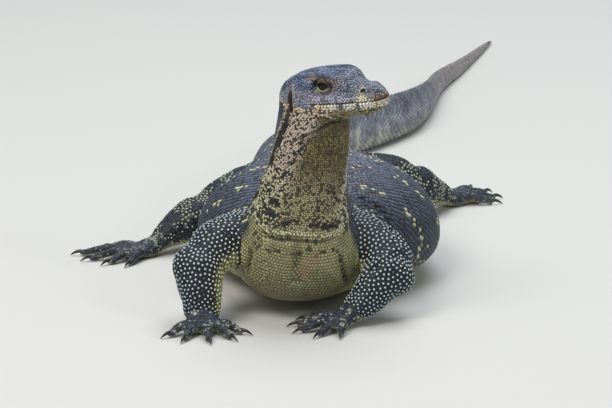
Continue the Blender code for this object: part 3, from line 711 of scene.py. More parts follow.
def refine(bm, region):
    """Cut in two every edge that lies inside the region."""
    bm.verts.ensure_lookup_table()
    inside = region(np.array([v.co[:] for v in bm.verts]))
    bm.verts.index_update()
    edges = [e for e in bm.edges if inside[e.verts[0].index] and inside[e.verts[1].index]]
    bmesh.ops.subdivide_edges(bm, edges=edges, cuts=1, use_grid_fill=True)


def on_head(co):
    """Which places belong to the head."""
    local = to_head(co)
    return (local[:, 0] > -19) & (np.abs(local[:, 1]) < 42) & (local[:, 2] > -34) & (local[:, 2] < 40)


def near_features(co, margin):
    """Which places lie near an eye, an ear, a nostril or the mouth."""
    local = to_head(co)
    side = np.abs(local[:, 1])
    near = np.zeros(len(co), bool)
    for (x, y, z), reach in ((EYE_PLACE, 13), (NOSTRIL_PLACE, 5)):
        distance = np.sqrt((local[:, 0] - x) ** 2 + (side - y) ** 2 + (local[:, 2] - z) ** 2)
        near |= distance < reach + margin
    x, y, z = EAR_PLACE
    ear = np.hypot((local[:, 0] - x) / 6, (local[:, 2] - z) / 15)
    near |= (ear < 1 + margin / 6) & (side > 20)
    gap = local[:, 2] - mouth_level(local[:, 0])
    near |= (np.abs(gap) < 2.0 + margin) & (local[:, 0] > MOUTH_CORNER - 5)
    return near & on_head(co)


def mouth_level(x):
    """The height of the mouth's line in the head's frame."""
    line = np.array(MOUTH_LINE)
    return np.interp(x, line[:, 0], line[:, 1])


# The camera, in datum millimetres and in pixels of the photo
CAMERA_PLACE = (0, -4818, 1336)
CAMERA_PITCH = math.radians(14.18)
CAMERA_LENS = 275
CAMERA_SENSOR = 36
PHOTO_SIZE = (612, 408)


def seen(tree, pixel):
    """The place on the skin that the camera sees at this pixel of the photo."""
    focal = CAMERA_LENS / CAMERA_SENSOR * PHOTO_SIZE[0]
    across = (pixel[0] - PHOTO_SIZE[0] / 2) / focal
    down = (pixel[1] - PHOTO_SIZE[1] / 2) / focal
    sin, cos = math.sin(CAMERA_PITCH), math.cos(CAMERA_PITCH)
    ray = Vector((across, cos - down * sin, -sin - down * cos)).normalized()
    hit, normal, _, _ = tree.ray_cast(Vector(CAMERA_PLACE), ray)
    return None if hit is None else (np.array(hit), np.array(normal))


# Folds of the skin: their line in pixels of the photo, where it shows them, and in millimetres
# their width, how deep they go, and how far the skin beside them stands up on the side that the
# last number names (1 is the left of the line's way, -1 the right, 0 both).
FOLDS = (
    (((349, 118), (333, 122.6), (321, 129), (310.6, 133.5), (299, 138), (291, 142)), 2.6, 3.4, 1.6, 1),
    (((314, 136), (300, 152), (290, 164), (283, 172)), 2.4, 1.3, 0.8, 0),
    (((288, 114), (284, 131), (279.5, 142), (275, 155), (267, 168), (258, 186)), 3.2, 2.6, 1.2, 0),
    (((259, 233), (270, 238), (285, 240.5), (300, 241), (321, 242.5), (340, 236.5)), 3.0, 3.0, 2.0, 1),
    (((297, 250), (296, 265), (296, 290)), 9.0, 4.2, 0.0, 0),
    (((353, 196), (372, 203), (386, 217.5), (393.5, 232), (405, 248.5)), 4.0, 3.2, 1.5, 0),
    (((363, 279), (372, 270), (381.5, 263), (394, 256), (405, 251)), 3.2, 2.4, 1.0, 0),
    (((251, 248), (249.5, 260), (248, 272)), 4.4, 3.4, 0.9, 0),
    (((341, 251), (343.4, 268), (347, 283)), 4.4, 3.4, 0.9, 0),
    (((224, 262), (226, 275), (232, 281)), 3.0, 2.0, 0.8, 0),
    (((243, 209), (252, 199), (262, 192)), 3.4, 2.0, 0.8, 0),
)


def fold_lines(tree):
    """Each fold as dense places and normals on the skin."""
    lines = []
    for pixels, width, depth, rise, side in FOLDS:
        keys = np.arange(len(pixels))
        dense = hermite(keys, np.array(pixels, float), np.linspace(0, len(pixels) - 1, 40))
        hits = [hit for hit in (seen(tree, pixel) for pixel in dense) if hit]
        line, outward = (np.array(column) for column in zip(*hits))
        lines.append((line, outward, width, depth, rise, side))
    return lines


def near_folds(co, lines, reach):
    """Which places lie this near to a fold's line."""
    near = np.zeros(len(co), bool)
    for line, *_ in lines:
        low, high = line.min(axis=0) - reach, line.max(axis=0) + reach
        box = np.nonzero(within(co, low, high))[0]
        distance = np.linalg.norm(co[box, None] - line[None, ::2], axis=2).min(axis=1)
        near[box[distance < reach]] = True
    return near


def fold(co, normals, lines):
    """The places moved in along the folds and out beside them."""
    moved = co.copy()
    for line, outward, width, depth, rise, side in lines:
        reach = width * 4
        low, high = line.min(axis=0) - reach, line.max(axis=0) + reach
        box = np.nonzero(within(co, low, high))[0]
        offset = co[box, None] - line[None]
        distance = np.linalg.norm(offset, axis=2)
        nearest = distance.argmin(axis=1)
        distance = distance.min(axis=1)
        along = unit(np.gradient(line, axis=0))[nearest]
        across = np.cross(outward[nearest], along)
        signed = np.sum(offset[np.arange(len(box)), nearest] * across, axis=1)
        facing = np.sum(normals[box] * outward[nearest], axis=1) > 0.1
        t = nearest / (len(line) - 1)
        fade = smooth_step(0, 0.18, t) * smooth_step(0, 0.18, 1 - t) * facing
        beside = np.ones(len(box)) if side == 0 else (signed * side > 0).astype(float)
        push = -depth * bell(distance, 0, width)
        push += rise * bell(distance, 2.0 * width, 1.1 * width) * beside
        moved[box] += normals[box] * (push * fade)[:, None]
    return moved


def eye_axes(sign):
    """The eye's own axes in the head's frame, as rows: ahead along the lids, up, and outward."""
    out = unit(np.array((0.10, sign * 1.0, 0.10)))
    ahead = np.array((1.0, 0, -0.14))
    ahead = unit(ahead - out * (ahead @ out))
    return np.array((ahead, sign * np.cross(ahead, out), out))


def eye_place(sign):
    """The centre of this side's eye in the head's frame."""
    return np.array((EYE_PLACE[0], sign * EYE_PLACE[1], EYE_PLACE[2]))


# The almond of the lids' edge: its roundness power, and how high its upper and lower halves are as
# shares of the opening's half height
LID_POWER, UPPER_LID, LOWER_LID = 1.7, 0.82, 1.05


def opening(a, b):
    """1 on the lids' edge, less inside it and more outside: an almond with a heavier upper lid."""
    half_width, half_height = EYE_OPENING
    height = np.where(b > 0, half_height * UPPER_LID, half_height * LOWER_LID)
    return (np.abs(a / half_width) ** LID_POWER + np.abs(b / height) ** LID_POWER) ** (1 / LID_POWER)


# How far from the eye's middle the skin is drawn, the shares of the opening over which the lids end
# outward and inward, and how far out the skin lies behind the opening
EYE_REACH, LID_FADE, LID_EDGE, SOCKET = 18, (1.3, 2.3), (0.88, 1.02), 4.4
# The brow, the crease over the upper lid and the one under the lower lid: height, level above the eye's
# middle, bend, width, and how they start behind and end ahead
LID_RIDGES = (
    (1.5, 6.6, 0.012, 1.6, (-14, -6), (-16, -9)),
    (-0.9, 4.3, 0.02, 0.8, (-9, -5), (-9, -5)),
    (-0.7, -6.2, -0.03, 0.8, (-9, -4), (-10, -5)),
)


def shape_eyes(local):
    """The lids drawn over each eyeball, with the brow above and a crease below."""
    for sign in (1, -1):
        axes = eye_axes(sign)
        q = (local - eye_place(sign)) @ axes.T
        a, b, c = q[:, 0], q[:, 1], q[:, 2]
        at = np.nonzero((np.hypot(a, b) < EYE_REACH) & (c > 0))[0]
        a, b, c = a[at], b[at], c[at]
        rho = opening(a, b)
        lid = np.sqrt(np.maximum(LID_RADIUS**2 - a**2 - b**2, 0))
        cover = 1 - smooth_step(*LID_FADE, rho)
        new = c * (1 - cover) + lid * cover
        for height, level, bend, width, behind, ahead in LID_RIDGES:
            reach = smooth_step(*behind, a) * smooth_step(*ahead, -a)
            new = new + height * (bell(b + bend * a**2, level, width) * reach)
        hole = 1 - smooth_step(*LID_EDGE, rho)
        new = new * (1 - hole) + SOCKET * hole
        local[at] += axes[2] * (new - c)[:, None]
    return local


# The pits of nostril and ear: place, size, lean, how far from the middle they start, depth, the shares
# of their size between which they end, and their rim's height, share of the size and width
HEAD_PITS = (
    (NOSTRIL_PLACE, NOSTRIL_SIZE, 0, 6, 2.4, (0.7, 1.1), 0.55, 1.55, 0.35),
    (EAR_PLACE, EAR_SIZE, 0.06, 15, 4.2, (0.62, 1.06), 0.9, 1.35, 0.22),
)


def shape_head(co, normals):
    """The head's fine forms pressed into the skin: mouth, lips, nostrils, ears, eyes."""
    at = np.nonzero(on_head(co))[0]
    local = to_head(co[at])
    out = unit(normals[at] @ head_axes().T)
    x, z = local[:, 0], local[:, 2]
    push = np.zeros(len(at))
    gap = z - mouth_level(x)
    open_to = smooth_step(MOUTH_CORNER - 3, MOUTH_CORNER + 5, x)
    push -= 1.2 * bell(gap, 0, 0.6) * open_to
    push += 0.45 * bell(np.abs(gap), 2.1, 1.1) * open_to
    for (px, _, pz), (rx, _, rz), lean, inner, depth, edge, rim, rim_share, rim_width in HEAD_PITS:
        across = (x - px - (z - pz) * lean) / rx
        rho = np.hypot(across, (z - pz) / rz) + 9 * (np.abs(local[:, 1]) < inner)
        push -= depth * (1 - smooth_step(*edge, rho))
        push += rim * bell(rho, rim_share, rim_width)
    push += 0.35 * (noise(local, 9, 3) - 0.5) + 0.5 * (noise(local, 17, 4) - 0.5)
    local = local + out * push[:, None]
    moved = co.copy()
    moved[at] = from_head(shape_eyes(local))
    return moved


# The skin lies this far inside the forms, so that the scales' tips reach them
COAT_DEPTH = 0.6
# Vertices this near to the head's form, and this far from its joins, are put on it
HEAD_SNAP, JOIN_NEAR = 2, 0.3


def make_skin(forms):
    """The skin's vertices, triangles and normals."""
    co, quads = union_of(forms)
    co, weight = round_the_joins(co, quads, forms)
    co[:, 2] = np.maximum(co[:, 2], GROUND_CLEARANCE)
    tree = BVHTree.FromPolygons([tuple(p) for p in co], quads.tolist())
    lines = fold_lines(tree)
    bm = bmesh.new()
    layer = bm.verts.layers.float.new("weight")
    verts = [bm.verts.new(p) for p in co]
    for vert, value in zip(verts, weight):
        vert[layer] = value
    for face in quads:
        bm.faces.new([verts[k] for k in face])
    refine(bm, lambda p: on_head(p) | near_folds(p, lines, 9))
    refine(bm, lambda p: near_features(p, 1.5))
    refine(bm, lambda p: near_features(p, 0))
    bmesh.ops.triangulate(bm, faces=bm.faces[:])
    bm.verts.index_update()
    co = np.array([v.co[:] for v in bm.verts])
    weight = np.array([v[layer] for v in bm.verts])
    faces = np.array([[v.index for v in f.verts] for f in bm.faces])
    bm.free()
    head = forms["head"].tree
    for k in np.nonzero(on_head(co) & (weight < JOIN_NEAR))[0]:
        near, _, _, distance = head.find_nearest(co[k])
        if distance < HEAD_SNAP:
            co[k] += (np.array(near) - co[k]) * (1 - weight[k] / JOIN_NEAR)
    normals = normals_of(co, faces)
    co = co - normals * COAT_DEPTH
    co = fold(co, normals, lines)
    co = shape_head(co, normals)
    co[:, 2] = np.maximum(co[:, 2], GROUND_CLEARANCE)
    return co, faces, normals_of(co, faces)


def tone(red, green, blue):
    """A colour in linear light from its screen values of 0 to 255."""
    value = np.array((red, green, blue), float) / 255
    return np.where(value <= 0.04045, value / 12.92, ((value + 0.055) / 1.055) ** 2.4)


NIGHT = tone(18, 22, 30)
NAVY = tone(33, 42, 57)
SLATE = tone(85, 94, 112)
# A light bluish grey, painted as the sheen of the light from above on the back and nape
STEEL_SHEEN = tone(112, 120, 142)
ASH = tone(150, 152, 158)
CREAM = tone(222, 220, 178)
PALE = tone(226, 222, 204)
BELLY = tone(176, 172, 118)
OCHRE = tone(150, 134, 82)
OLIVE = tone(118, 110, 62)
ROSE = tone(190, 160, 134)
RUST = tone(150, 92, 62)
UMBER = tone(96, 78, 70)


def mix(first, second, share):
    """The colour this share of the way from the first to the second."""
    share = np.asarray(share, float)[..., None]
    return first * (1 - share) + second * share


class Sites:
    """Where scales stand: places, frames, half sizes and heights, and their spot on the unwrap."""

    FIELDS = ("place", "normal", "back", "length", "width", "height", "uv", "along", "around", "turn")

    def __init__(self, **values):
        for field in self.FIELDS:
            setattr(self, field, np.asarray(values[field], float))

    def __len__(self):
        return len(self.place)

    def keep(self, mask):
        """Only the sites where the mask is true."""
        return Sites(**{field: getattr(self, field)[mask] for field in self.FIELDS})

    @staticmethod
    def scattered(points, sizes, back, **values):
        """Round sites of these half sizes that all slope back the same way until they are settled."""
        back = np.tile(back, (len(points), 1))
        return Sites(place=points, normal=back.copy(), back=back, length=sizes, width=sizes.copy(), **values)

    @staticmethod
    def join(parts):
        """All sites of several sets."""
        return Sites(**{f: np.concatenate([getattr(p, f) for p in parts]) for f in Sites.FIELDS})


# The spacing of the spine's scales along it and around it, by their place along the spine
SPINE_PITCHES = np.array((
    (0, 3.6, 3.0),
    (200, 4.6, 4.0),
    (HIP - 60, 5.0, 4.6),
    (HIP, 4.6, 4.7),
    (SHOULDER, 4.4, 4.6),
    (GULAR - 70, 3.9, 4.0),
    (GULAR - 10, 3.7, 3.8),
    (GULAR + 12, 2.5, 2.5),
    (GULAR + 60, 2.15, 2.15),
    (SPINE_LOFT.length, 2.1, 2.1),
))
# How finely the rings are cut to place the rows, how many scales the count around changes by, and the
# place that the rows are counted from
ROUND_STEPS = 192
BLOCK = 8
ANCHOR = GULAR - 2
# The unwrap of each piece fills this share of its square
UV_LOW, UV_SPAN = 0.01, 0.98


def pitch(at, column):
    """The spacing of the spine's scales at these places, along it (1) or around it (2)."""
    return np.interp(at, SPINE_PITCHES[:, 0], SPINE_PITCHES[:, column])


def even_rings(rings):
    """The rings with their places set evenly along each ring's own length, and these lengths."""
    loop = np.concatenate([rings, rings[:, :1]], axis=1)
    lengths = np.linalg.norm(np.diff(loop, axis=1), axis=2)
    total = np.concatenate([np.zeros((len(rings), 1)), np.cumsum(lengths, axis=1)], axis=1)
    share = np.arange(ROUND_STEPS) / ROUND_STEPS
    even = np.empty((len(rings), ROUND_STEPS, 3))
    for i, ring in enumerate(loop):
        for axis in range(3):
            even[i, :, axis] = np.interp(share * total[i, -1], total[i], ring[:, axis])
    return even, total[:, -1]


def rows_of_scales(rings, places, jitter):
    """Staggered rows of scales over the rings of the spine, moved at random by the jitter's share.

    The rows are counted along the surface itself, so they keep their spacing on both sides of a bend."""
    grid, around = even_rings(rings)
    steps = np.linalg.norm(np.diff(grid, axis=0), axis=2) / pitch((places[1:] + places[:-1]) / 2, 1)[:, None]
    count = np.concatenate([np.zeros((1, ROUND_STEPS)), np.cumsum(steps, axis=0)])
    count = count - count[np.argmin(np.abs(places - ANCHOR))]
    index = np.arange(len(places), dtype=float)
    found = []
    rows = np.arange(math.ceil(count.min()), math.floor(count.max()) + 1)
    where = np.array([np.interp(rows, column, index, left=-1, right=-1) for column in count.T])
    for row, line in zip(rows, where.T):
        valid = line[line >= 0]
        if len(valid) < ROUND_STEPS // 8:
            continue
        middle = valid.mean()
        columns = np.interp(middle, index, around) / pitch(np.interp(middle, index, places), 2)
        columns = max(int(round(columns / BLOCK)) * BLOCK, 6)
        turn = (np.arange(columns) + 0.5 * (row % 2)) / columns
        turn = turn + jitter * (rng.random(columns) - 0.5) / columns
        q = turn % 1 * ROUND_STEPS
        low = q.astype(int) % ROUND_STEPS
        part = q - np.floor(q)
        high = (low + 1) % ROUND_STEPS
        s = line[low] * (1 - part) + line[high] * part
        ok = (line[low] >= 0) & (line[high] >= 0)
        found.append((s[ok], q[ok] / ROUND_STEPS, low[ok], high[ok], part[ok], np.full(ok.sum(), columns)))
    s, turn, low, high, part, columns = (np.concatenate(column) for column in zip(*found))
    s = np.clip(s + jitter * (rng.random(len(s)) - 0.5), 0, len(places) - 1.001)
    base = s.astype(int)
    f = (s - base)[:, None]
    part = part[:, None]
    near = grid[base, low] * (1 - part) + grid[base, high] * part
    far = grid[base + 1, low] * (1 - part) + grid[base + 1, high] * part
    back = unit(near - far)
    along = np.interp(s, index, places)
    share = (along - places[0]) / (places[-1] - places[0])
    return Sites(
        place=near * (1 - f) + far * f,
        normal=np.cross(unit(grid[base, high] - grid[base, low]), -back),
        back=back,
        length=pitch(along, 1) / 2,
        width=np.interp(s, index, around) / columns / 2,
        height=np.ones(len(s)),
        uv=UV_LOW + UV_SPAN * np.stack([share, turn], axis=1),
        along=along,
        around=1 - np.abs(2 * turn - 1),
        turn=turn,
    )


class Ground:
    """The skin that scales stand on."""

    def __init__(self, co, faces, normals):
        self.faces = faces
        self.normals = normals
        self.tree = BVHTree.FromPolygons([tuple(p) for p in co], faces.tolist())

    def settle(self, sites, reach):
        """The sites moved onto the skin, without those that lie further off than the reach."""
        ok = np.zeros(len(sites), bool)
        for k, point in enumerate(sites.place):
            near, _, face, distance = self.tree.find_nearest(point)
            if distance > reach:
                continue
            ok[k] = True
            sites.place[k] = near
            sites.normal[k] = self.normals[self.faces[face]].mean(axis=0)
        sites = sites.keep(ok)
        sites.normal = unit(sites.normal)
        dot = np.sum(sites.back * sites.normal, axis=1)
        sites.back = unit(sites.back - sites.normal * dot[:, None])
        return sites


def outside(sites, forms, own, margin):
    """The sites that lie in no other form."""
    ok = np.ones(len(sites), bool)
    for name, form in forms.items():
        if name == own:
            continue
        near = within(sites.place, form.low, form.high) & ok
        for k in np.nonzero(near)[0]:
            ok[k] = not form.holds(sites.place[k], margin)
    return sites.keep(ok)


def apart(sites, taken, share):
    """The sites that don't crowd those already taken."""
    tree = tree_of(taken.place)
    ok = np.ones(len(sites), bool)
    for k, point in enumerate(sites.place):
        _, other, distance = tree.find(point)
        ok[k] = distance > share * (sites.width[k] + taken.width[other])
    return sites.keep(ok)


# A scale's rings from its sunk root to its top: share of its half size, and height
KEELED = ((1.0, -0.45), (0.86, 0.35), (0.50, 0.88))
PLATE = ((1.0, -0.40), (0.90, 0.55), (0.62, 0.92))
BEAD = ((1.0, -0.45), (0.76, 0.62))


# A keeled scale: how far each ring and the peak slide back as shares of the half length, how much
# lower the top ring is at its sides, and how far the peak stands over the others
KEEL_SLIDE, PEAK_SLIDE, KEEL_FALL, PEAK_RISE = 0.25, 0.5, 0.25, 0.2
# Half the size of a scale's patch on the unwrap, and the lowest that a scale reaches, in millimetres
PATCH = 0.0015
LOWEST = 0.05


def scale_mesh(name, sites, colours, profile, slot, sides=8, square=2.0, keel=0.0, tip=1.0, rim=0.35):
    """One piece of the coat: each scale a closed dome on its site, with a small patch of the unwrap.

    rim and tip are the shares of the colour at root and top. keel lifts and slides the top backward."""
    count = len(sites)
    angle = (np.arange(sides) + 0.5) * 2 * math.pi / sides
    cos, sin = np.cos(angle), np.sin(angle)
    radius = (np.abs(cos) ** square + np.abs(sin) ** square) ** (-1 / square)
    out = np.cross(sites.normal, sites.back)
    rings = []
    shades = []
    for level, (share, height) in enumerate(profile):
        slide = keel * KEEL_SLIDE * level
        x = cos * radius * share * sites.length[:, None] + slide * sites.length[:, None]
        y = sin * radius * share * sites.width[:, None]
        z = height * sites.height[:, None] * np.ones(sides)
        if level == len(profile) - 1 and keel:
            z = z * (1 - KEEL_FALL * np.abs(sin))
        ring = sites.place[:, None] + x[..., None] * sites.back[:, None]
        rings.append(ring + y[..., None] * out[:, None] + z[..., None] * sites.normal[:, None])
        shades.append(rim if level == 0 else tip if level == len(profile) - 1 else (rim + tip) / 2)
    top = sites.place + sites.normal * sites.height[:, None]
    if keel:
        top = top + sites.back * (keel * PEAK_SLIDE * sites.length)[:, None]
        top = top + sites.normal * (sites.height * PEAK_RISE)[:, None]
    levels = len(profile)
    per = levels * sides + 1
    points = np.concatenate([np.stack(rings, axis=1).reshape(count, -1, 3), top[:, None]], axis=1)
    faces = []
    for level in range(levels - 1):
        for k in range(sides):
            a, b = level * sides + k, level * sides + (k + 1) % sides
            faces += [(a, b, b + sides), (a, b + sides, a + sides)]
    last = (levels - 1) * sides
    faces += [(last + k, last + (k + 1) % sides, per - 1) for k in range(sides)]
    faces += [(0, k + 1, k) for k in range(1, sides - 1)]
    faces = np.array(faces)
    if np.linalg.det(np.array((sites.back[0], out[0], sites.normal[0]))) < 0:
        faces = faces[:, ::-1]
    every = (faces[None] + (np.arange(count) * per)[:, None, None]).reshape(-1, 3)
    points = points.reshape(-1, 3)
    points[:, 2] = np.maximum(points[:, 2], LOWEST)
    obj = mesh_object(name, points, every)
    shade = np.concatenate([np.repeat(shades, sides), [tip]])
    paint(obj, (colours[:, None] * shade[None, :, None]).reshape(-1, 3))
    patch = np.concatenate([np.stack([cos, sin], axis=1) * share for share, _ in profile] + [[[0, 0]]])
    uv = (sites.uv[:, None] + patch[None] * PATCH).reshape(-1, 2)
    layer = obj.data.uv_layers.new(name="OFBake")
    layer.data.foreach_set("uv", uv[every.ravel()].astype(np.float32).ravel())
    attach(obj, BODY)
    return obj
# The spacing of the back's cross bands of flecks and of the tail's dark rings
BAND_PITCH = 52
RING_PITCH = 46


def lighter(colour, low, spread, toss):
    """The colour with the light of each scale varied by its toss."""
    return colour * (low + spread * toss[:, None])


def trunk_colours(at, along, around, toss, second, cluster, patch, wide):
    """A pale belly, a dark back with cross bands of flecks and a painted sheen along its top, and the
    chest with its dark specks, darkened with painted shade that deepens low down.
    """
    belly = mix(BELLY, CREAM, 0.15 + 0.35 * patch)
    belly = mix(belly, NIGHT, 0.75 * (toss < 0.5 * smooth_step(0.26, 0.40, around)))
    # The back is painted lighter and bluer towards its midline, a painted sheen of the light from above, and
    # darker navy down the flanks
    back = mix(SLATE, STEEL_SHEEN, smooth_step(0.55, 1.0, around) * 0.8)
    flank = 1 - smooth_step(0.45, 0.85, around)
    back = lighter(mix(back, NAVY, 0.35 + 0.5 * flank + 0.25 * (cluster - 0.5)), 0.45, 0.95, second)
    phase = (along - 18 * (around - 0.5) + 10 * (wide - 0.5)) / BAND_PITCH
    band = bell(phase, np.round(phase), 0.16)
    fleck = (toss < 0.5 * band * smooth_step(0.4, 0.65, cluster)) & (around > 0.3)
    back = mix(back, mix(CREAM, ROSE, 0.6 * smooth_step(0.6, 0.95, around)), 0.7 * fleck)
    back = mix(back, NIGHT, 0.5 * (second < 0.12))
    trunk = mix(belly, back, smooth_step(0.33, 0.42, around + 0.06 * (cluster - 0.5)))
    dark = smooth_step(0.42, 0.66, cluster) * smooth_step(GULAR - 16, GULAR - 4, along)
    # The chest is painted darker than the belly, and darker still low down: painted shade, as the light falls
    # from above
    chest = lighter(mix(BELLY * 0.62, CREAM, 0.06 + 0.2 * patch), 0.8, 0.35, second)
    chest = chest * (0.72 + 0.28 * smooth_step(25, 75, at[:, 2]))[:, None]
    chest = mix(chest, NIGHT, 0.8 * (toss < 0.30 * dark))
    ahead = smooth_step(SHOULDER, SHOULDER + 25, along)
    return mix(trunk, chest, ahead * (1 - smooth_step(0.42, 0.5, around)))


def neck_colours(along, around, toss, second, cluster, patch, fine):
    """An ochre throat, speckled sides, a slate nape, and a dark stripe with beads between them."""
    throat = lighter(mix(OCHRE, OLIVE, patch), 0.3, 1.05, second)
    throat = mix(throat, NIGHT, 0.6 * (toss < 0.12 + 0.5 * smooth_step(0.5, 0.7, fine)))
    upper = smooth_step(GULAR + 25, GULAR + 65, along)
    rosy = (0.05 + 0.15 * upper) + (0.2 + 0.3 * upper) * second
    side = mix(mix(CREAM, tone(240, 228, 208), upper), ROSE, rosy)
    speckled = toss < 0.20 + 0.5 * smooth_step(0.5, 0.66, 0.8 * fine + 0.2 * cluster)
    side = mix(lighter(side, 0.85, 0.3, patch), NIGHT, 0.96 * speckled)
    neck = mix(throat, side, np.clip(smooth_step(0.20, 0.34, around) + 0.45 * (1 - upper), 0, 1))
    # The nape is slate with a little painted sheen, darker in clusters
    nape = lighter(mix(mix(SLATE, STEEL_SHEEN, 0.3), NAVY, 0.2 + 0.5 * cluster), 0.6, 0.8, second)
    nape = mix(nape, NIGHT, 0.6 * (second < 0.3))
    beads = mix(CREAM, RUST, 0.15 + 0.5 * second)
    beads = mix(beads, NIGHT, 0.9 * (toss < 0.32))
    neck = mix(neck, nape, smooth_step(0.655, 0.675, around))
    line = smooth_step(0.615, 0.625, around) * (1 - smooth_step(0.65, 0.66, around))
    neck = mix(neck, beads, line * smooth_step(12, 26, SPINE_LOFT.length - along))
    stripe = smooth_step(0.545, 0.56, around + 0.02 * (cluster - 0.5)) * (1 - smooth_step(0.61, 0.62, around))
    return mix(neck, NIGHT, 0.94 * stripe)


def tail_colours(at, along, around, toss, second, cluster, patch, wide):
    """Grey with darker rings, a pale lilac band along the middle of each side that is a painted highlight,
    a paler line below it, pale spots near the hips and a pale end.
    """
    behind = HIP - along
    tail = mix(mix(SLATE, ASH, 0.4 + 0.5 * patch), NAVY, 0.12 + 0.3 * (cluster - 0.5))
    rings = 0.5 + 0.5 * np.sin((along + 9 * wide) * 2 * math.pi / RING_PITCH)
    spots = smooth_step(0.56, 0.66, noise(at, 9, 8)) * (1 - smooth_step(0.55, 0.7, around))
    for colour, share in (
        (NAVY, 0.34 * smooth_step(0.55, 0.8, rings) * (1 - smooth_step(0, 500, behind - 500))),
        (NAVY, 0.35 * smooth_step(0.62, 0.8, around + 0.1 * (patch - 0.5))),
        # A pale lilac band along the middle of each side: a painted highlight
        (tone(168, 164, 178), 0.4 * bell(around, 0.52, 0.12) * (0.4 + patch)),
        (mix(ASH, CREAM, 0.35), 0.5 * bell(around, 0.27, 0.1) * (0.4 + patch)),
    ):
        tail = mix(tail, colour, share)
    tail = lighter(tail, 0.8, 0.5, second)
    for colour, share in (
        (PALE, 0.6 * spots * (1 - smooth_step(300, 500, behind))),
        (mix(ASH, ROSE, 0.2 + 0.3 * second), 0.65 * smooth_step(520, 800, behind)),
        (mix(ASH, BELLY, 0.4), 0.7 * (1 - smooth_step(0.12, 0.3, around))),
        (NIGHT, 0.4 * (toss < 0.12)),
    ):
        tail = mix(tail, colour, share)
    return tail * (1 - 0.3 * smooth_step(-420, -120, -behind))[:, None]


def spine_colours(at, along, around, tosses):
    """Colours of the tail, trunk and neck at these places, by the length along the spine and by
    how far round from the ventral midline (0) to the dorsal one (1). tosses are random numbers."""
    cluster, patch, wide, fine = noise(at, 7, 1), noise(at, 18, 2), noise(at, 45, 5), noise(at, 3.2, 9)
    trunk = trunk_colours(at, along, around, *tosses, cluster, patch, wide)
    neck = neck_colours(along, around, *tosses, cluster, patch, fine)
    tail = tail_colours(at, along, around, *tosses, cluster, patch, wide)
    colour = mix(tail, trunk, smooth_step(HIP - 120, HIP + 50, along + 30 * (patch - 0.5)))
    start = GULAR - 24 * smooth_step(0.45, 0.6, around)
    return mix(colour, neck, smooth_step(-3, 3, along - start + 4 * (cluster - 0.5)))


# The X between the shoulders, in datum millimetres
BODY_MIDDLE = -8


def limb_colours(name, at, normal, tosses):
    """Colours of the legs and arms: navy with a cream dot on each scale, and cream on the inside.
    Also how far each place is on the inside."""
    toss, second = tosses
    cluster = noise(at, 9, 11)
    if "arm" in name:
        inward = np.where(at[:, 0] > BODY_MIDDLE, -1.0, 1.0)
        facing = normal[:, 0] * inward * 0.75 - normal[:, 2] * 0.65 - normal[:, 1] * 0.1
        inner = smooth_step(0.42, 0.7, facing + 0.25 * (cluster - 0.5))
        dots = mix(tone(184, 208, 226), CREAM, 0.35 * cluster + 0.5 * smooth_step(0, 0.4, facing))
        dots = mix(dots, NAVY, 0.85 * (toss < 0.06))
    elif "hand" in name or "foot" in name:
        inner = 0.6 * smooth_step(0.3, 0.8, -normal[:, 2])
        dots = mix(mix(NAVY, SLATE, second), NIGHT, 0.6 * (toss < 0.45))
        pale = 0.55 if "hand" in name else 0.3
        dots = mix(dots, PALE, pale * (toss > 0.72) * smooth_step(0.35, 0.6, noise(at, 8, 13)))
    else:
        inner = smooth_step(0.35, 0.8, -normal[:, 2])
        spotted = smooth_step(0.36, 0.56, noise(at, 11, 12))
        dots = mix(mix(NAVY, SLATE, 0.35 + 0.4 * second), tone(208, 214, 192), 0.85 * (toss < 0.85 * spotted))
    inside = mix(mix(BELLY, CREAM, 0.45 + 0.4 * second), OCHRE, 0.2 * cluster)
    return mix(dots, inside, inner), inner


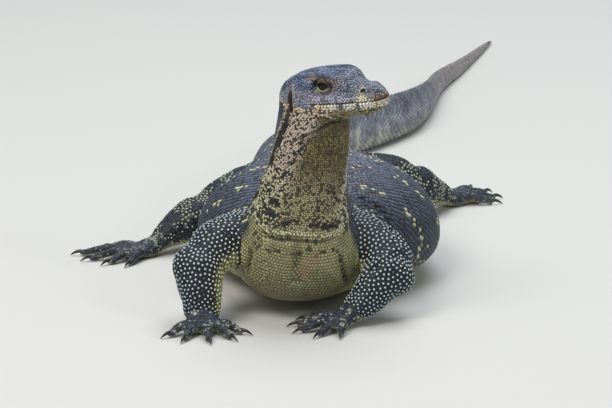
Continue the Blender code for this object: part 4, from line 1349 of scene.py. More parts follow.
def head_colours(at, normal, tosses):
    """Colours of the head at these places, by their place in the head's own frame."""
    toss, second = tosses
    local = to_head(at)
    x, y, z = local.T
    up = (normal @ head_axes().T)[:, 2]
    side = np.abs(y)
    streak = noise(local * np.array((0.35, 1, 1)), 3.2, 21)
    mottle, patch = noise(local, 3.6, 22), noise(local, 9, 23)
    top = mix(tone(36, 48, 76), tone(114, 128, 164), smooth_step(0.25, 0.75, streak))
    top = lighter(mix(top, SLATE, 0.3 * patch), 0.8, 0.4, second)
    temple = mix(mix(SLATE, tone(158, 158, 176), 0.35 + 0.6 * mottle), UMBER, 0.12)
    snout = mix(SLATE, tone(170, 174, 192), 0.1 + 0.65 * second)
    snout = mix(snout, NIGHT, 0.7 * (toss < 0.5 * smooth_step(0.4, 0.65, noise(local, 2.2, 24))))

    # The brow, the skin before the eye, the shadow over the brow, the pale lower lid and its dark ring
    ex, _, ez = EYE_PLACE
    ahead, over = x - ex, z - ez
    tilted = over + 0.14 * ahead
    near_eye = side > 12
    brow = bell(x, ex, 18, 4) * bell(tilted, 5.6, 2.9) * near_eye
    front = bell(ahead, 12, 5) * bell(over, 2, 5) * near_eye
    shadow = bell(x, ex, 19, 4) * bell(tilted, 9.2, 0.9) * near_eye
    radius = np.hypot(ahead / 1.25, over)
    lid = smooth_step(0.2, 0.6, -over / np.maximum(radius, 1)) * bell(radius, 6.3, 1.2) * near_eye
    ring = bell(radius, 8.6, 0.9) * near_eye

    # The upper lip is grey-lilac, with a pale patch below the nostril and speckled ahead of it
    gap = z - mouth_level(x)
    above = gap > 0
    lip = bell(gap, 4, 4.5) * smooth_step(20, 32, x) * (1 - smooth_step(70, 78, x))
    flecked = toss < 0.45 * smooth_step(0.4, 0.6, noise(local, 2.4, 25))
    lilac = mix(tone(188, 186, 204), NIGHT, 0.6 * flecked)
    blotch = bell(x, 81, 4.6) * bell(z, 2.0, 4.6) * above
    front_lip = smooth_step(84, 88, x) * (1 - smooth_step(4, 7, gap)) * above

    # Below the mouth: pale scales with dark bars, a speckled cheek behind and ochre underneath
    pale = lighter(mix(tone(244, 236, 230), CREAM, 0.1 + 0.5 * patch), 0.8, 0.3, second)
    bars = bell(x, 59, 2.8) + bell(x, 75.5, 1.6)
    pale = mix(pale, NAVY, np.clip(1.25 * bars, 0, 0.88) * (gap > -9))
    specks = toss < 0.22 + 0.4 * smooth_step(0.45, 0.65, mottle)
    cheek = mix(mix(ROSE, tone(240, 226, 196), second), NIGHT, 0.85 * specks)
    under = mix(mix(OCHRE, UMBER, 0.4), CREAM, 0.35 * second)
    under = mix(under, NIGHT, 0.7 * (toss < 0.2))
    deep = smooth_step(6, 9, -gap)
    lower = mix(cheek, pale, smooth_step(38, 46, x) * (1 - deep))
    lower = mix(lower, under, deep * smooth_step(30, 60, x))
    edge = np.where(x > MOUTH_CORNER, gap, z + 5 - 0.16 * (MOUTH_CORNER - x))

    # The rust tip of the snout, the nostril's pale rim, and the ear's rim before and behind it
    tip = smooth_step(86, 95, x) * bell(gap, 1.5, 4.2)
    nx, _, nz = NOSTRIL_PLACE
    nostril = bell(np.hypot((x - nx) / 1.3, z - nz), 2.6, 0.8) * smooth_step(nx + 2.4, nx - 1, x) * (side > 6)
    from_ear = x - EAR_PLACE[0]
    ear = bell(np.hypot(from_ear / EAR_SIZE[0], (z - EAR_PLACE[2]) / EAR_SIZE[2]), 1.35, 0.3) * (side > 20)

    colour = lighter(temple, 0.8, 0.55, second)
    for layer, share in (
        (top, smooth_step(12, 19, z + 3 * up)),
        (snout, smooth_step(52, 60, x) * smooth_step(1, 5, z) * 0.9),
        (mix(UMBER, ROSE, 0.15 + 0.4 * second), np.clip(1.1 * brow + 0.6 * front, 0, 0.92)),
        (NIGHT, 0.7 * shadow),
        (CREAM, 0.9 * lid),
        (NIGHT, 0.55 * ring),
        (lilac, 0.75 * lip),
        (mix(tone(238, 230, 196), PALE, 0.6 * second), np.clip(2.0 * blotch, 0, 0.93)),
        (mix(mix(PALE, ROSE, second), NIGHT, 0.8 * (toss < 0.45)), 0.85 * front_lip),
        (lower, smooth_step(0, 1, -edge / 1.2 + 0.5)),
        (mix(RUST, UMBER, 0.5 * second) * 0.6, 0.8 * tip),
        (mix(CREAM, PALE, second), 0.7 * nostril),
        (mix(ROSE, CREAM, 0.4), 0.75 * ear * smooth_step(-1, 2.5, from_ear)),
        (mix(UMBER, RUST, 0.3), 0.55 * ear * smooth_step(-1, 2.5, -from_ear)),
    ):
        colour = mix(colour, layer, share)
    return colour


def tosses(count):
    """Two random numbers from 0 to 1 for each scale."""
    return rng.random(count), rng.random(count)


def spine_sites(forms, ground):
    """The scales of the tail and trunk, and those of the neck, which are smaller and less even."""
    places = np.arange(2, SPINE_LOFT.length - 4, 2.0)
    rings = rings_of(SPINE_LOFT, places, 180)
    found = []
    for chosen, jitter, margin in ((places < GULAR, 0.10, 1.5), (places > GULAR - 6, 0.45, 0.8)):
        found.append((rows_of_scales(rings[chosen], places[chosen], jitter), margin))
    trunk, neck = (ground.settle(outside(sites, forms, "spine", margin), 6) for sites, margin in found)
    return trunk, apart(neck, trunk, 0.75)


def sized(sites, length, width, height):
    """The sites with these shares of their half sizes, and this height in millimetres."""
    sites = sites.keep(np.ones(len(sites), bool))
    sites.length = sites.length * length
    sites.width = sites.width * width
    sites.height = np.full(len(sites), height)
    return sites


def thrown(co, faces, weights, tries):
    """Random places on the skin, more of them where the weights are high, and their faces."""
    corners = co[faces]
    first, second, third = corners[:, 0], corners[:, 1], corners[:, 2]
    area = np.linalg.norm(np.cross(second - first, third - first), axis=1) * weights
    chosen = rng.choice(len(faces), tries, p=area / area.sum())
    u, v = rng.random(tries), rng.random(tries)
    flip = u + v > 1
    u[flip], v[flip] = 1 - u[flip], 1 - v[flip]
    first, second, third = first[chosen], second[chosen], third[chosen]
    return first + u[:, None] * (second - first) + v[:, None] * (third - first), chosen


def accepted(points, sizes, held, held_sizes, share):
    """Which of the places keep clear of the held ones and of the accepted ones before them."""
    cell = 2 * max(sizes.max(), held_sizes.max())
    table = {}
    for point, size in zip((held / cell).tolist(), (held_sizes / cell).tolist()):
        table.setdefault(tuple(math.floor(p) for p in point), []).append((*point, size))
    kept = []
    shifts = [(i, j, k) for i in (-1, 0, 1) for j in (-1, 0, 1) for k in (-1, 0, 1)]
    for index, ((x, y, z), size) in enumerate(zip((points / cell).tolist(), (sizes / cell).tolist())):
        a, b, c = math.floor(x), math.floor(y), math.floor(z)
        clear = not any(
            (x - ox) ** 2 + (y - oy) ** 2 + (z - oz) ** 2 < ((size + half) * share) ** 2
            for i, j, k in shifts
            for ox, oy, oz, half in table.get((a + i, b + j, c + k), ())
        )
        if clear:
            table.setdefault((a, b, c), []).append((x, y, z, size))
            kept.append(index)
    return np.array(kept, int)


def head_surface(x, z, sign):
    """The place on the side of the head at this X and Z of its own frame."""
    ring = head_section(x, 400)
    half = ring[ring[:, 1] * sign > 0]
    return half[np.argmin(np.abs(half[:, 2] - z))]


# The head's rows of scales. Lips: height from the mouth's line, spacing and half size. Lids: share of
# the opening and half size. Nostril and ear: place, size, number of scales, and shares of the size.
LIP_ROWS = ((1.9, 3.0, 1.45), (-1.9, 3.2, 1.55))
LID_ROWS = ((1.26, 0.5), (1.52, 0.62), (1.82, 0.78))
PIT_ROWS = ((NOSTRIL_PLACE, NOSTRIL_SIZE, 11, 1.55, 1.75), (EAR_PLACE, EAR_SIZE, 46, 1.28, 1.16))
PIT_SCALE = 0.95
# At the snout's tip the lips' scales are smaller, and closer as the lips turn inward
TIP_START, TIP_TURN, LIP_STOP = 92, 90, 102
TIP_SPACING, TIP_SCALE = 2.2, 1.1


def lid_edge(turn, share):
    """The place on the lids at this turn about the eye, this share of the opening out from its middle."""
    a, b = math.cos(turn), math.sin(turn)
    reach = share / float(opening(np.array(a), np.array(b)))
    return a * reach, b * reach


def head_rows():
    """Places and half sizes of the head's scales that stand in rows: lips, lids, nostrils, ears."""
    spots, sizes = [], []
    for sign in (1, -1):
        for rise, step, half in LIP_ROWS:
            x = MOUTH_CORNER + 1.0
            while x < LIP_STOP:
                spots.append(head_surface(x, mouth_level(x) + rise, sign))
                sizes.append(half if x < TIP_START else TIP_SCALE)
                slant = 1.0 if x < TIP_TURN else 1 + (x - TIP_TURN) / 9
                x += (step if x < TIP_START else TIP_SPACING) / slant
        axes, centre = eye_axes(sign), eye_place(sign)
        for ring, (share, half) in enumerate(LID_ROWS):
            count = int(2 * math.pi * 4.9 * share / (2.05 * half))
            for turn in (np.arange(count) + 0.5 * (ring % 2)) * 2 * math.pi / count:
                a, b = lid_edge(turn, share)
                spots.append(centre + axes.T @ (a, b, math.sqrt(max(LID_RADIUS**2 - a * a - b * b, 1))))
                sizes.append(half)
        for (px, _, pz), (rx, _, rz), count, wide, high in PIT_ROWS:
            for turn in np.arange(count) * 2 * math.pi / count:
                x, z = px + wide * rx * math.cos(turn), pz + high * rz * math.sin(turn)
                spots.append(head_surface(x, z, sign))
                sizes.append(PIT_SCALE)
    return np.array(spots), np.array(sizes)


def head_size(local):
    """Half the size of the head's scattered scales at these places of its own frame."""
    x, y, z = local.T
    side = np.abs(y)
    size = 1.12 + 0.22 * smooth_step(16, 26, z) - 0.16 * smooth_step(52, 64, x) * (z > 0)
    size = size + 0.25 * smooth_step(0, -12, z) * (1 - smooth_step(30, 60, x)) + 0.2 * smooth_step(-6, -16, x)
    ocular = bell(x, 42, 14) * bell(side, 19, 4) * (z > 22)
    near_eye = bell(np.hypot(x - EYE_PLACE[0], z - EYE_PLACE[2]), 0, 11) * (side > 12)
    return size + 0.35 * ocular - 0.22 * near_eye


# Half the width of the bare strip along the mouth
MOUTH_STRIP = 0.6


def head_open(local):
    """Which places of the head bear no scale: mouth, eyes, nostrils and ears."""
    x, y, z = local.T
    bare = (np.abs(z - mouth_level(x)) < MOUTH_STRIP) & (x > MOUTH_CORNER - 2)
    for (px, _, pz), (rx, _, rz), share in ((NOSTRIL_PLACE, NOSTRIL_SIZE, 1.25), (EAR_PLACE, EAR_SIZE, 1.05)):
        bare |= (np.hypot((x - px) / rx, (z - pz) / rz) < share) & (np.abs(y) > 6)
    for sign in (1, -1):
        q = (local - eye_place(sign)) @ eye_axes(sign).T
        bare |= (opening(q[:, 0], q[:, 1]) < 1.16) & (q[:, 2] > 0)
    return bare


HEAD_TRIES = 60000
HEAD_CROWDING = 0.88
# The least and greatest half size of a scattered scale, and how far it may turn in radians
HEAD_SCALE_SIZES = (0.6, 1.7)
HEAD_SCALE_TURN = 1.2


def head_sites(co, faces, forms, ground):
    """The head's scales: rows along lips, lids, nostrils and ears, and irregular ones between them."""
    rows, row_sizes = head_rows()
    rows = from_head(rows)
    middle = co[faces].mean(axis=1)
    points, _ = thrown(co, faces, on_head(middle) * (to_head(middle)[:, 0] > -17), HEAD_TRIES)
    points = points[~head_open(to_head(points))]
    sizes = head_size(to_head(points))
    kept = accepted(points, sizes, rows, row_sizes, HEAD_CROWDING)
    points, sizes = np.concatenate([rows, points[kept]]), np.concatenate([row_sizes, sizes[kept]])
    x, y, z = to_head(points).T
    uv = np.stack([0.02 + 0.96 * (x + 25) / 135, 0.5 + np.arctan2(y, z) / 2 / math.pi], axis=1)
    number = np.arange(len(points))
    sites = Sites.scattered(
        points, sizes, -head_axes()[0], height=0.30 + 0.12 * sizes, uv=uv, along=x, around=x, turn=number
    )
    sites = ground.settle(outside(sites, forms, "head", 1.2), 4)
    free = sites.turn >= len(rows)
    spin = np.where(free, (rng.random(len(sites)) - 0.5) * 2 * HEAD_SCALE_TURN, 0)[:, None]
    sites.back = sites.back * np.cos(spin) + np.cross(sites.normal, sites.back) * np.sin(spin)
    tree = tree_of(sites.place)
    room = np.array([np.mean([d for _, _, d in tree.find_n(p, 5)][1:]) for p in sites.place]) / 2
    sites.length = np.where(free, np.clip(room * 1.06, *HEAD_SCALE_SIZES), sites.length)
    sites.width = np.where(free, np.clip(room, *HEAD_SCALE_SIZES), sites.width)
    return sites


def eye_ball(sign, word):
    """One eye: a glossy ball with a dark iris, a golden ring and a round pupil."""
    rows, columns = 40, 48
    lat = np.linspace(0, math.pi * 0.62, rows)[1:]
    turn = np.arange(columns) * 2 * math.pi / columns
    ring = np.stack([np.outer(np.sin(lat), np.cos(turn)), np.outer(np.sin(lat), np.sin(turn))], axis=-1)
    depth = np.repeat(np.cos(lat)[:, None], columns, axis=1)
    local = np.concatenate([ring, depth[..., None]], axis=-1).reshape(-1, 3) * EYE_RADIUS
    local = np.concatenate([local, [[0, 0, EYE_RADIUS]]])
    tip, rim = len(local) - 1, (rows - 2) * columns
    front = [((k + 1) % columns, k, tip) for k in range(columns)]
    back = [(rim + k, rim + k + 1, rim) for k in range(1, columns - 1)]
    faces = np.concatenate([tube_faces(rows - 1, columns), front, back])[:, ::sign]
    obj = mesh_object("eyeball_" + word, from_head(eye_place(sign) + local @ eye_axes(sign)), faces)
    radius = np.hypot(local[:, 0], local[:, 1])
    fibre = noise(np.stack([np.arctan2(local[:, 0], local[:, 1]) * 9, radius, radius], axis=1), 1, 31)
    iris = mix(tone(10, 7, 5), tone(36, 23, 13), 0.6 * fibre)
    iris = mix(iris, tone(80, 56, 30), 0.4 * bell(radius, 2.5, 0.2))
    colour = mix(iris, tone(26, 18, 14), smooth_step(3.6, 4.6, radius))
    paint(obj, mix(colour, tone(4, 4, 5), 1 - smooth_step(2.2, 2.45, radius)))
    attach(obj, BODY)
    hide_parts("eye_" + word)
    return obj


# The rolls of the upper and lower lids' edges: radius, and how far they sink into the lids
UPPER_ROLL, LOWER_ROLL, ROLL_SINK = 0.42, 0.34, 0.25


def lid_rim(sign, word):
    """The thick edge of both lids, a thin roll along the eye's opening."""
    count, sides = 64, 8
    points, colours = [], []
    for turn in np.arange(count) * 2 * math.pi / count:
        a, b = lid_edge(turn, 1.03)
        here = np.array((a, b, math.sqrt(LID_RADIUS**2 - a * a - b * b) - ROLL_SINK))
        outward = unit(np.array((a, b, 0.0)))
        thick = UPPER_ROLL if b > 0 else LOWER_ROLL
        for angle in np.arange(sides) * 2 * math.pi / sides:
            points.append(here + thick * (outward * math.cos(angle) + np.array(UP) * math.sin(angle)))
            colours.append(mix(mix(CREAM, UMBER, 0.35), UMBER * 0.3, smooth_step(-2.6, -0.6, b)))
    faces = tube_faces(count + 1, sides) % (count * sides)
    at = from_head(eye_place(sign) + np.array(points) @ eye_axes(sign))
    obj = mesh_object("lids_" + word, at, faces[:, ::-sign])
    paint(obj, np.array(colours))
    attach(obj, BODY)
    return obj


def claw_form(tip, out):
    """One claw, from inside the toe's tip down to the ground."""
    table = []
    for t in np.linspace(0, 1, 9):
        radius = CLAW_RADIUS * (1 - t) ** CLAW_TAPER + CLAW_TIP
        level = (tip[2] + CLAW_LIFT) * (1 - t**2) + (CLAW_CLEARANCE + CLAW_TIP) * t**2
        rise = level + CLAW_ARCH * math.sin(math.pi * t) * (1 - CLAW_FLATTENING * t)
        where = tip + out * (CLAW_LENGTH * t - CLAW_ROOT * (1 - t))
        table.append((where[0], where[1], rise, radius * CLAW_NARROWING, radius, radius, 1.8, 2.0, UP))
    loft = Loft(table)
    rings = rings_of(loft, np.linspace(0, loft.length, 26), 16)
    return Form(*domed(rings, 1, CLAW_TIP, 3), 0)


def claw_pieces(foot, foot_name, side):
    """The five claws of one foot in one piece, dark horn with a paler root."""
    points, faces, colours, names = [], [], [], []
    for toe in range(5):
        line, out = toe_line(foot, toe)
        tip = np.array(line[-1][:3])
        form = claw_form(tip, out)
        faces.append(form.faces + sum(len(p) for p in points))
        points.append(form.points)
        root = np.linalg.norm(form.points - tip, axis=1) / CLAW_LENGTH
        colours.append(mix(tone(92, 84, 76), tone(24, 25, 29), smooth_step(0.05, 0.4, root)))
        names.append(f"{foot_name}_claw_{side}_{toe + 1}")
    obj = mesh_object(f"claws_{foot_name}_{side}", np.concatenate(points), np.concatenate(faces))
    paint(obj, np.concatenate(colours))
    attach(obj, BODY)
    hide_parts(*names)
    return obj


class Regions:
    """Which form of the body a place belongs to, and how far along and around that form it is."""

    def __init__(self, forms):
        self.names = list(forms)
        self.spine = self.names.index("spine")
        self.of_point = np.concatenate([np.full(len(f.points), k) for k, f in enumerate(forms.values())])
        self.along = np.concatenate([f.ring_share for f in forms.values()])
        self.around = np.concatenate([f.side_share for f in forms.values()])
        self.tree = tree_of(np.concatenate([f.points for f in forms.values()]))

    def find(self, places):
        """The number of the form, the share of its length and the share of its girth."""
        nearest = np.array([self.tree.find(p)[1] for p in places])
        return self.of_point[nearest], self.along[nearest], self.around[nearest]


# How far apart neighbours are pushed, as a share of their half sizes together, the share of the lack
# made good in each pass, and the passes
WANTED, EASING, PASSES = 1.12, 0.35, 12


def relaxed(points, sizes, held, held_sizes, ground):
    """The places pushed evenly apart over the skin, while the held ones stay."""
    every = np.concatenate([points, held])
    halves = np.concatenate([sizes, held_sizes])
    for _ in range(PASSES):
        tree = tree_of(every)
        for k in range(len(points)):
            here = Vector(every[k])
            push = Vector((0, 0, 0))
            for other, j, distance in tree.find_range(here, 2.3 * halves[k]):
                want = (halves[k] + halves[j]) * WANTED
                if j != k and 0 < distance < want:
                    push += (here - other) * (EASING * (want - distance) / distance)
            every[k] = ground.tree.find_nearest(here + push)[0]
    return every[: len(points)]


# Half the spacing of a limb's scales by a word in the form's name, where it starts to shrink along the
# form, and by how much
LIMB_SPACING = (
    ("toe", 1.3, 0, 0),
    ("hand", 1.6, 0, 0.2),
    ("foot", 1.6, 0, 0.2),
    ("forearm", 2.4, 0.45, 0.6),
    ("shin", 2.15, 0.45, 0.6),
    ("arm", 2.4, 0, 0),
    ("", 2.15, 0, 0),
)


def limb_scale_size(names, owner, share):
    """Half the spacing of a limb's scales, by the form and how far along it they are."""
    size = np.empty(len(owner))
    for k, name in enumerate(names):
        _, most, start, fall = next(row for row in LIMB_SPACING if row[0] in name)
        here = owner == k
        shrunk = smooth_step(start, 1.0, share[here]) if start else share[here]
        size[here] = most - fall * shrunk
    return size


LIMB_TRIES = 60000
LIMB_CROWDING = 0.86
# How far the coat looks about the limb's root for bare skin and about the whole limb for scales that
# are there already, and how far from these skin counts as bare
ROOT_REACH, HELD_REACH, BARE = 14, 8, 2.9


def limb_ground(names, side, co, faces, face_owner, regions, taken):
    """Where a limb's coat goes: the weights of its faces and of the bare ones at its root, which are 1,
    and the places and half sizes of the scales that are near it already."""
    own = [k for k, n in enumerate(regions.names) if n.startswith(names) and f"_{side}" in n]
    middle = co[faces].mean(axis=1)
    mine = np.isin(face_owner, own)
    low, high = middle[mine].min(axis=0) - HELD_REACH, middle[mine].max(axis=0) + HELD_REACH
    near = within(taken.place, low, high)
    held, held_sizes = taken.place[near], (taken.width[near] + taken.length[near]) / 2
    tree = tree_of(held)
    root = middle[face_owner == regions.names.index(f"{names[0]}_{side}")]
    low, high = root.min(axis=0) - ROOT_REACH, root.max(axis=0) + ROOT_REACH
    bare = ~mine & within(middle, low, high) & (face_owner == regions.spine)
    for k in np.nonzero(bare)[0]:
        bare[k] = tree.find(middle[k])[2] > BARE
    return (mine | bare).astype(float), held, held_sizes


def sites_at(points, sizes, regions, uv_boxes, ground):
    """Sites at these places with their spot on the unwrap of the form they stand on."""
    owner, share, turn = regions.find(points)
    boxes = np.array([uv_boxes.get(name, next(iter(uv_boxes.values()))) for name in regions.names])[owner]
    uv = boxes[:, :2] + (boxes[:, 2:] - boxes[:, :2]) * np.stack([share, turn], axis=1)
    values = {"height": np.ones(len(points)), "uv": uv, "along": share, "around": turn, "turn": owner}
    return ground.settle(Sites.scattered(points, sizes, (0.0, 0.2, -1.0), **values), 9)


# Markings read off the photo: a line of picture points, its width, colour, strength, and the
# share of the scales along it that bear the colour. Those along the folds and under the jaw are painted shade
# and shadow.
DARK = (18, 20, 24)
DASH = (22, 24, 26)
# The dark of the painted shade in the chest's creases
CREASE_SHADE = (70, 58, 40)
# The dark of the painted shadow in the fold under the jaw
FOLD_SHADOW = (34, 29, 19)
MARKS = (
    (((263, 226.5), (274, 231.5), (297.6, 234), (321, 237), (338, 231)), 2.8, (214, 212, 168), 0.9, 1.0),
    (((271, 226.5), (280, 224), (294, 221.5)), 3.3, DARK, 0.95, 0.9),
    (((311, 225), (325, 226.5), (337, 226)), 3.3, DARK, 0.95, 0.9),
    (((266.7, 250), (278.6, 252)), 1.5, DASH, 0.95, 0.85),
    (((319, 253), (333, 250)), 1.5, DASH, 0.95, 0.85),
    (((253, 243), (257, 247)), 1.6, DASH, 0.95, 0.85),
    (((345, 193), (349, 203), (351, 213), (349, 222)), 4.5, (18, 22, 30), 0.95, 0.85),
    (((333, 190), (336, 199)), 3.0, DARK, 0.95, 0.8),
    (((271, 197), (277, 205)), 3.0, DARK, 0.95, 0.85),
    (((258, 214), (262, 221)), 3.0, DARK, 0.95, 0.85),
    (((266, 190), (268, 215)), 10.0, DARK, 0.95, 0.4),
    (((342, 178), (346, 225)), 8.0, DARK, 0.95, 0.5),
    # Painted shadow of the jaw on the throat below its fold
    (((344, 124), (332, 129), (320, 134), (310, 140)), 6.0, (84, 74, 42), 0.5, 1.0),
    # Painted shadow in the fold under the jaw
    (((348, 119.5), (333, 123.6), (321, 129.6), (310.6, 134.5), (299, 139), (291, 143)), 1.7, FOLD_SHADOW, 0.9, 1.0),
    # Painted shade in the crease of the neck's fold
    (((314, 136), (300, 152), (290, 164), (284, 171)), 1.3, (64, 52, 36), 0.75, 1.0),
    # Painted shade in the furrow between the chest's lobes
    (((297, 247), (296.5, 256), (296, 264)), 5.0, (96, 90, 60), 0.5, 1.0),
    # Painted shade, brownish pink, along the edge of the right pouch
    (((303, 274), (308, 264), (318, 256.5)), 7.0, (160, 122, 98), 0.4, 1.0),
    # Painted shade in the pouches' creases
    (((341, 256), (344, 270), (347, 284)), 2.6, CREASE_SHADE, 0.6, 1.0),
    (((251, 249), (249.5, 260), (248, 272)), 2.6, CREASE_SHADE, 0.6, 1.0),
)


def mark_lines(tree):
    """Each marking as dense places on the skin."""
    found = []
    for pixels, width, colour, strength, share in MARKS:
        dense = hermite(np.arange(len(pixels)), np.array(pixels, float), np.linspace(0, len(pixels) - 1, 30))
        hits = [hit[0] for hit in (seen(tree, pixel) for pixel in dense) if hit]
        found.append((np.array(hits), width, tone(*colour), strength, share))
    return found


def marked(colours, at, toss, marks):
    """The colours with the markings laid over them."""
    for line, width, colour, strength, share in marks:
        low, high = line.min(axis=0) - 2 * width, line.max(axis=0) + 2 * width
        box = np.nonzero(within(at, low, high))[0]
        if len(box):
            distance = np.linalg.norm(at[box, None] - line[None], axis=2).min(axis=1)
            weight = strength * bell(distance, 0, width, 4) * (toss[box] < share)
            colours[box] = mix(colours[box], colour, weight)
    return colours


def stage():
    """The camera at the photo's angle, the floor and the lights."""
    scene = bpy.context.scene
    scene.view_settings.view_transform = "Standard"
    data = bpy.data.cameras.new("camera")
    data.sensor_width = CAMERA_SENSOR
    data.lens = CAMERA_LENS
    camera = bpy.data.objects.new("camera", data)
    camera.location = place(CAMERA_PLACE)
    camera.rotation_euler = (math.pi / 2 - CAMERA_PITCH, 0, 0)
    scene.collection.objects.link(camera)
    scene.camera = camera

    bpy.ops.mesh.primitive_plane_add(size=30, location=(0, 0, -0.0004))
    floor = bpy.context.object
    floor.name = "floor"
    floor.data.materials.append(plain("floor", np.array((0.62, 0.61, 0.58)), 0.7))

    world = bpy.data.worlds.new("studio")
    world.use_nodes = True
    background = world.node_tree.nodes["Background"]
    background.inputs["Color"].default_value = (0.9, 0.95, 1.0, 1)
    background.inputs["Strength"].default_value = 0.36
    scene.world = world
    for name, spot, aim, size, power, colour in (
        ("key", (-1.6, -2.6, 3.4), (0, -0.4, 0.1), 2.2, 105, (1, 0.97, 0.93)),
        ("sky", (0.4, 0.6, 3.2), (0, -0.1, 0.0), 2.6, 80, (0.9, 0.95, 1.0)),
        ("fill", (2.3, -2.9, 1.8), (0, -0.4, 0.1), 0.7, 18, (0.95, 0.97, 1.0)),
    ):
        lamp = bpy.data.lights.new(name, "AREA")
        lamp.shape = "DISK"
        lamp.size = size
        lamp.energy = power
        lamp.color = colour
        light = bpy.data.objects.new(name, lamp)
        light.location = spot
        light.rotation_euler = (Vector(aim) - Vector(spot)).to_track_quat("-Z", "Y").to_euler()
        scene.collection.objects.link(light)


def new_material(name, roughness, grain_scale):
    """A material with its nodes, links, shader and a noise texture for its grain."""
    material = bpy.data.materials.new(name)
    material.use_nodes = True
    nodes = material.node_tree.nodes
    shader = nodes["Principled BSDF"]
    shader.inputs["Roughness"].default_value = roughness
    grain = nodes.new("ShaderNodeTexNoise")
    grain.inputs["Scale"].default_value = grain_scale
    return material, nodes, material.node_tree.links, shader, grain


def plain(name, colour, roughness):
    """A material of one colour with a faint grain."""
    material, nodes, links, shader, grain = new_material(name, roughness, 40)
    ramp = nodes.new("ShaderNodeValToRGB")
    ramp.color_ramp.elements[0].color = (*(colour * 0.97), 1)
    ramp.color_ramp.elements[1].color = (*colour, 1)
    links.new(grain.outputs["Fac"], ramp.inputs["Fac"])
    links.new(ramp.outputs["Color"], shader.inputs["Base Color"])
    return material


def painted(name, roughness, grain_size, grain_depth, shine=0.5):
    """A material that takes its colour from the mesh's own paint. The grain is in millimetres."""
    material, nodes, links, shader, grain = new_material(name, roughness, 1 / (grain_size * MM))
    shader.inputs["Specular IOR Level"].default_value = shine
    colour = nodes.new("ShaderNodeVertexColor")
    colour.layer_name = "Paint"
    links.new(colour.outputs["Color"], shader.inputs["Base Color"])
    coords = nodes.new("ShaderNodeTexCoord")
    grain.inputs["Detail"].default_value = 3
    links.new(coords.outputs["Object"], grain.inputs["Vector"])
    bump = nodes.new("ShaderNodeBump")
    bump.inputs["Distance"].default_value = grain_depth * MM
    bump.inputs["Strength"].default_value = 0.6
    links.new(grain.outputs["Fac"], bump.inputs["Height"])
    links.new(bump.outputs["Normal"], shader.inputs["Normal"])
    return material


stage()
SKIN_MATERIAL = painted("skin", 0.6, 2.0, 0.25)
SCALE_MATERIAL = painted("scale", 0.45, 0.9, 0.06)
HEAD_MATERIAL = painted("head_scale", 0.42, 0.7, 0.05)
EYE_MATERIAL = painted("eye", 0.07, 2.0, 0.0, 0.28)
CLAW_MATERIAL = painted("horn", 0.28, 0.5, 0.04, 0.6)

forms = body_forms()
co, faces, normals = make_skin(forms)
ground = Ground(co, faces, normals)
marks = mark_lines(ground.tree)
regions = Regions(forms)
vertex_owner = regions.find(co)[0]
face_owner = vertex_owner[faces[:, 0]]
# The places and colours of the scales that tint the skin between them
tints = []


def add(name, sites, colours, profile, material, slot, tinting=True, **options):
    """One piece of the coat, in its material."""
    scale_mesh(name, sites, colours, profile, slot, **options).data.materials.append(material)
    if tinting:
        tints.append((sites.place, colours))


def coat_spine():
    """The coat of tail, trunk and neck. It gives the sites of trunk and neck, to keep clear of."""
    trunk, neck = spine_sites(forms, ground)
    toss = tosses(len(trunk))
    colours = spine_colours(trunk.place, trunk.along, trunk.around, toss)
    colours = marked(colours, trunk.place, toss[0], marks)
    belly = (trunk.around < 0.37) & (trunk.along > HIP - 60)
    tail = (trunk.along < HIP) & ~belly
    back = ~belly & ~tail
    halfway = np.median(trunk.along[tail])
    third, two_thirds = np.quantile(trunk.along[back], (1 / 3, 2 / 3))
    tail_look = ("tail_skin", (0.98, 0.90, 0.75), BEAD, {"keel": 0.5, "rim": 0.7})
    back_look = ("torso_skin", (0.98, 0.90, 0.75), KEELED, {"keel": 0.6, "tip": 1.3, "rim": 0.25})
    belly_look = ("torso_skin", (0.93, 0.91, 0.5), BEAD, {"square": 3.5})
    for name, area, low, high, (slot, sizes, profile, options) in (
        ("scales_tail_rear", tail, 0, halfway, tail_look),
        ("scales_tail_front", tail, halfway, math.inf, tail_look),
        ("scales_belly", belly, 0, math.inf, belly_look),
        ("scales_back_rear", back, 0, third, back_look),
        ("scales_back_middle", back, third, two_thirds, back_look),
        ("scales_back_front", back, two_thirds, math.inf, back_look),
    ):
        mask = area & (trunk.along >= low) & (trunk.along < high)
        add(name, sized(trunk.keep(mask), *sizes), colours[mask], profile, SCALE_MATERIAL, slot, **options)
    toss = tosses(len(neck))
    colours = spine_colours(neck.place, neck.along, neck.around, toss)
    colours = marked(colours, neck.place, toss[0], marks)
    add("scales_neck", sized(neck, 0.93, 0.90, 0.6), colours, BEAD, SCALE_MATERIAL, "neck_skin", sides=6)
    return trunk, neck


# The fine granules between a limb's scales: tries, half size, crowding, and the room that the scales of
# limb and foot take, as shares of their half sizes
GRANULE_TRIES = 45000
GRANULE_HALF = 0.82
GRANULE_CROWDING = 0.93
LIMB_ROOM, FOOT_ROOM = 1.05, 1.6
# The unwrap's boxes of a limb's two lengths, its palm and its first toe, and the toes' spacing there
UPPER_BOX, LOWER_BOX, PALM_BOX = (0.01, 0.01, 0.49, 0.99), (0.505, 0.01, 0.985, 0.99), (0.01, 0.01, 0.3, 0.99)
TOE_BOX, TOE_BOX_STEP = (0.32, 0.01, 0.445, 0.99), (0.135, 0, 0.135, 0)


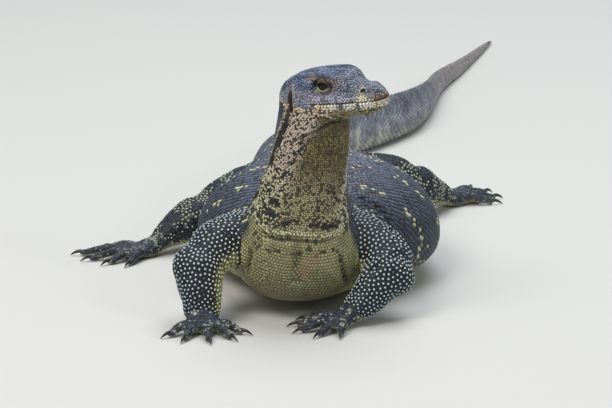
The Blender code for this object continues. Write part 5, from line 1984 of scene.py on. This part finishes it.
def coat_limb(names, side, taken):
    """The coat of one limb: its scales, those of its foot, and the granules between them."""
    upper_name, _, foot_name = names
    slot = "arm_skin" if "arm" in upper_name else "leg_skin"
    boxes = {f"{name}_{side}": box for name, box in zip(names, (UPPER_BOX, LOWER_BOX, PALM_BOX))}
    for toe in range(5):
        boxes[f"{foot_name}_{side}_toe_{toe + 1}"] = tuple(a + b * toe for a, b in zip(TOE_BOX, TOE_BOX_STEP))
    weights, held, held_sizes = limb_ground(names, side, co, faces, face_owner, regions, taken)
    points, chosen = thrown(co, faces, weights, LIMB_TRIES)
    sizes = limb_scale_size(regions.names, face_owner[chosen], regions.find(points)[1])
    kept = accepted(points, sizes, held, held_sizes, LIMB_CROWDING)
    sizes = sizes[kept]
    points = relaxed(points[kept], sizes, held, held_sizes, ground)
    sites = sites_at(points, sizes, regions, boxes, ground)
    on_foot = np.array([foot_name in regions.names[int(k)] for k in sites.turn])
    big = sites.keep(~on_foot)
    toss = tosses(len(big))
    colours, inner = limb_colours(upper_name, big.place, big.normal, toss)
    root = big.turn == regions.spine
    round_way = 1 - np.abs(2 * big.around - 1)
    colours[root] = spine_colours(big.place, big.along * SPINE_LOFT.length, round_way, toss)[root]
    inner = np.where(root, 1.0, inner)
    colours = marked(colours, big.place, toss[0], marks)
    big.length = big.length * (0.58 + 0.37 * inner)
    big.width = big.width * (0.56 + 0.37 * inner)
    big.height = np.full(len(big), 0.8)
    name = f"scales_{upper_name}_{side}"
    add(name, big, colours, BEAD, SCALE_MATERIAL, slot, tinting="arm" not in upper_name, rim=0.25)
    feet = sites.keep(on_foot)
    colours, _ = limb_colours(foot_name, feet.place, feet.normal, tosses(len(feet)))
    feet.height = np.full(len(feet), 0.45)
    add(f"scales_{foot_name}_{side}", feet, colours, BEAD, SCALE_MATERIAL, "foot_skin", sides=6)
    spots, _ = thrown(co, faces, weights, GRANULE_TRIES)
    halves = np.full(len(spots), GRANULE_HALF)
    around = np.concatenate([held, big.place, feet.place])
    around_sizes = np.concatenate([held_sizes, big.width * LIMB_ROOM, feet.width * FOOT_ROOM])
    kept = accepted(spots, halves, around, around_sizes, GRANULE_CROWDING)
    fine = sites_at(spots[kept], halves[kept], regions, boxes, ground)
    _, inner = limb_colours(upper_name, fine.place, fine.normal, tosses(len(fine)))
    shade = mix(mix(NAVY, NIGHT, 0.5) * 0.7, BELLY, inner * 0.8) * (0.7 + 0.6 * rng.random((len(fine), 1)))
    fine.height = np.full(len(fine), 0.5)
    add(f"granules_{upper_name}_{side}", fine, shade, BEAD, SCALE_MATERIAL, slot, sides=6)


def coat_head(neck):
    """The head's scales, its eyes and the edges of their lids."""
    sites = apart(head_sites(co, faces, forms, ground), neck, 0.6)
    toss = tosses(len(sites))
    colours = head_colours(sites.place, sites.normal, toss)
    colours = marked(colours, sites.place, toss[0], marks)
    add("scales_head", sites, colours, PLATE, HEAD_MATERIAL, "head_skin", sides=7, square=2.3, rim=0.4)
    for sign, word in ((1, "left"), (-1, "right")):
        eye_ball(sign, word).data.materials.append(EYE_MATERIAL)
        lid_rim(sign, word).data.materials.append(HEAD_MATERIAL)


# How much of the nearest scale's colour shows between the scales: as a rule, above this height, where
# the neck and head are, and on the tail behind this place. The heights are in datum millimetres.
GAP_LIGHT, GAP_LIGHT_HIGH, GAP_LIGHT_TAIL = 0.36, 0.25, 0.70
HIGH, TAIL_START = 95, 420
# Painted shade in the mouth's line and in the pits of eyes, nostrils and ears: how far it darkens the skin
MOUTH_SHADE, PIT_SHADE = 0.55, 0.85


def skin_colours():
    """The skin's colours: the nearest scale's, darkened between the scales, with painted shade along the
    mouth and in the openings.
    """
    tint_colours = np.concatenate([colours for _, colours in tints])
    tree = tree_of(np.concatenate([places for places, _ in tints]))
    nearest = np.array([tree.find(p)[1] for p in co])
    light = np.where((vertex_owner == regions.spine) & (co[:, 1] > TAIL_START), GAP_LIGHT_TAIL, GAP_LIGHT)
    light = np.where(co[:, 2] > HIGH, GAP_LIGHT_HIGH, light)
    local = to_head(co)
    # Painted shade in the pits and along the mouth's line
    pits = PIT_SHADE * (head_open(local) & on_head(co))
    mouth = bell(local[:, 2], mouth_level(local[:, 0]), 0.6) * (local[:, 0] > MOUTH_CORNER) * on_head(co)
    return mix(tint_colours[nearest] * light[:, None], UMBER * 0.2, np.where(mouth > 0.3, MOUTH_SHADE, pits))


trunk, neck = coat_spine()
for _, _, foot, (upper_name, lower_name, foot_name, side) in LIMBS:
    coat_limb((upper_name, lower_name, foot_name), side, Sites.join([trunk, neck]))
    claw_pieces(foot, foot_name, side).data.materials.append(CLAW_MATERIAL)
coat_head(neck)

skin = mesh_object("skin", co, faces)
paint(skin, skin_colours())
skin.data.materials.append(SKIN_MATERIAL)
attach(skin, BODY)
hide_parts(*[name for name in frame["nodes"] if "claw" not in name and "eye" not in name])
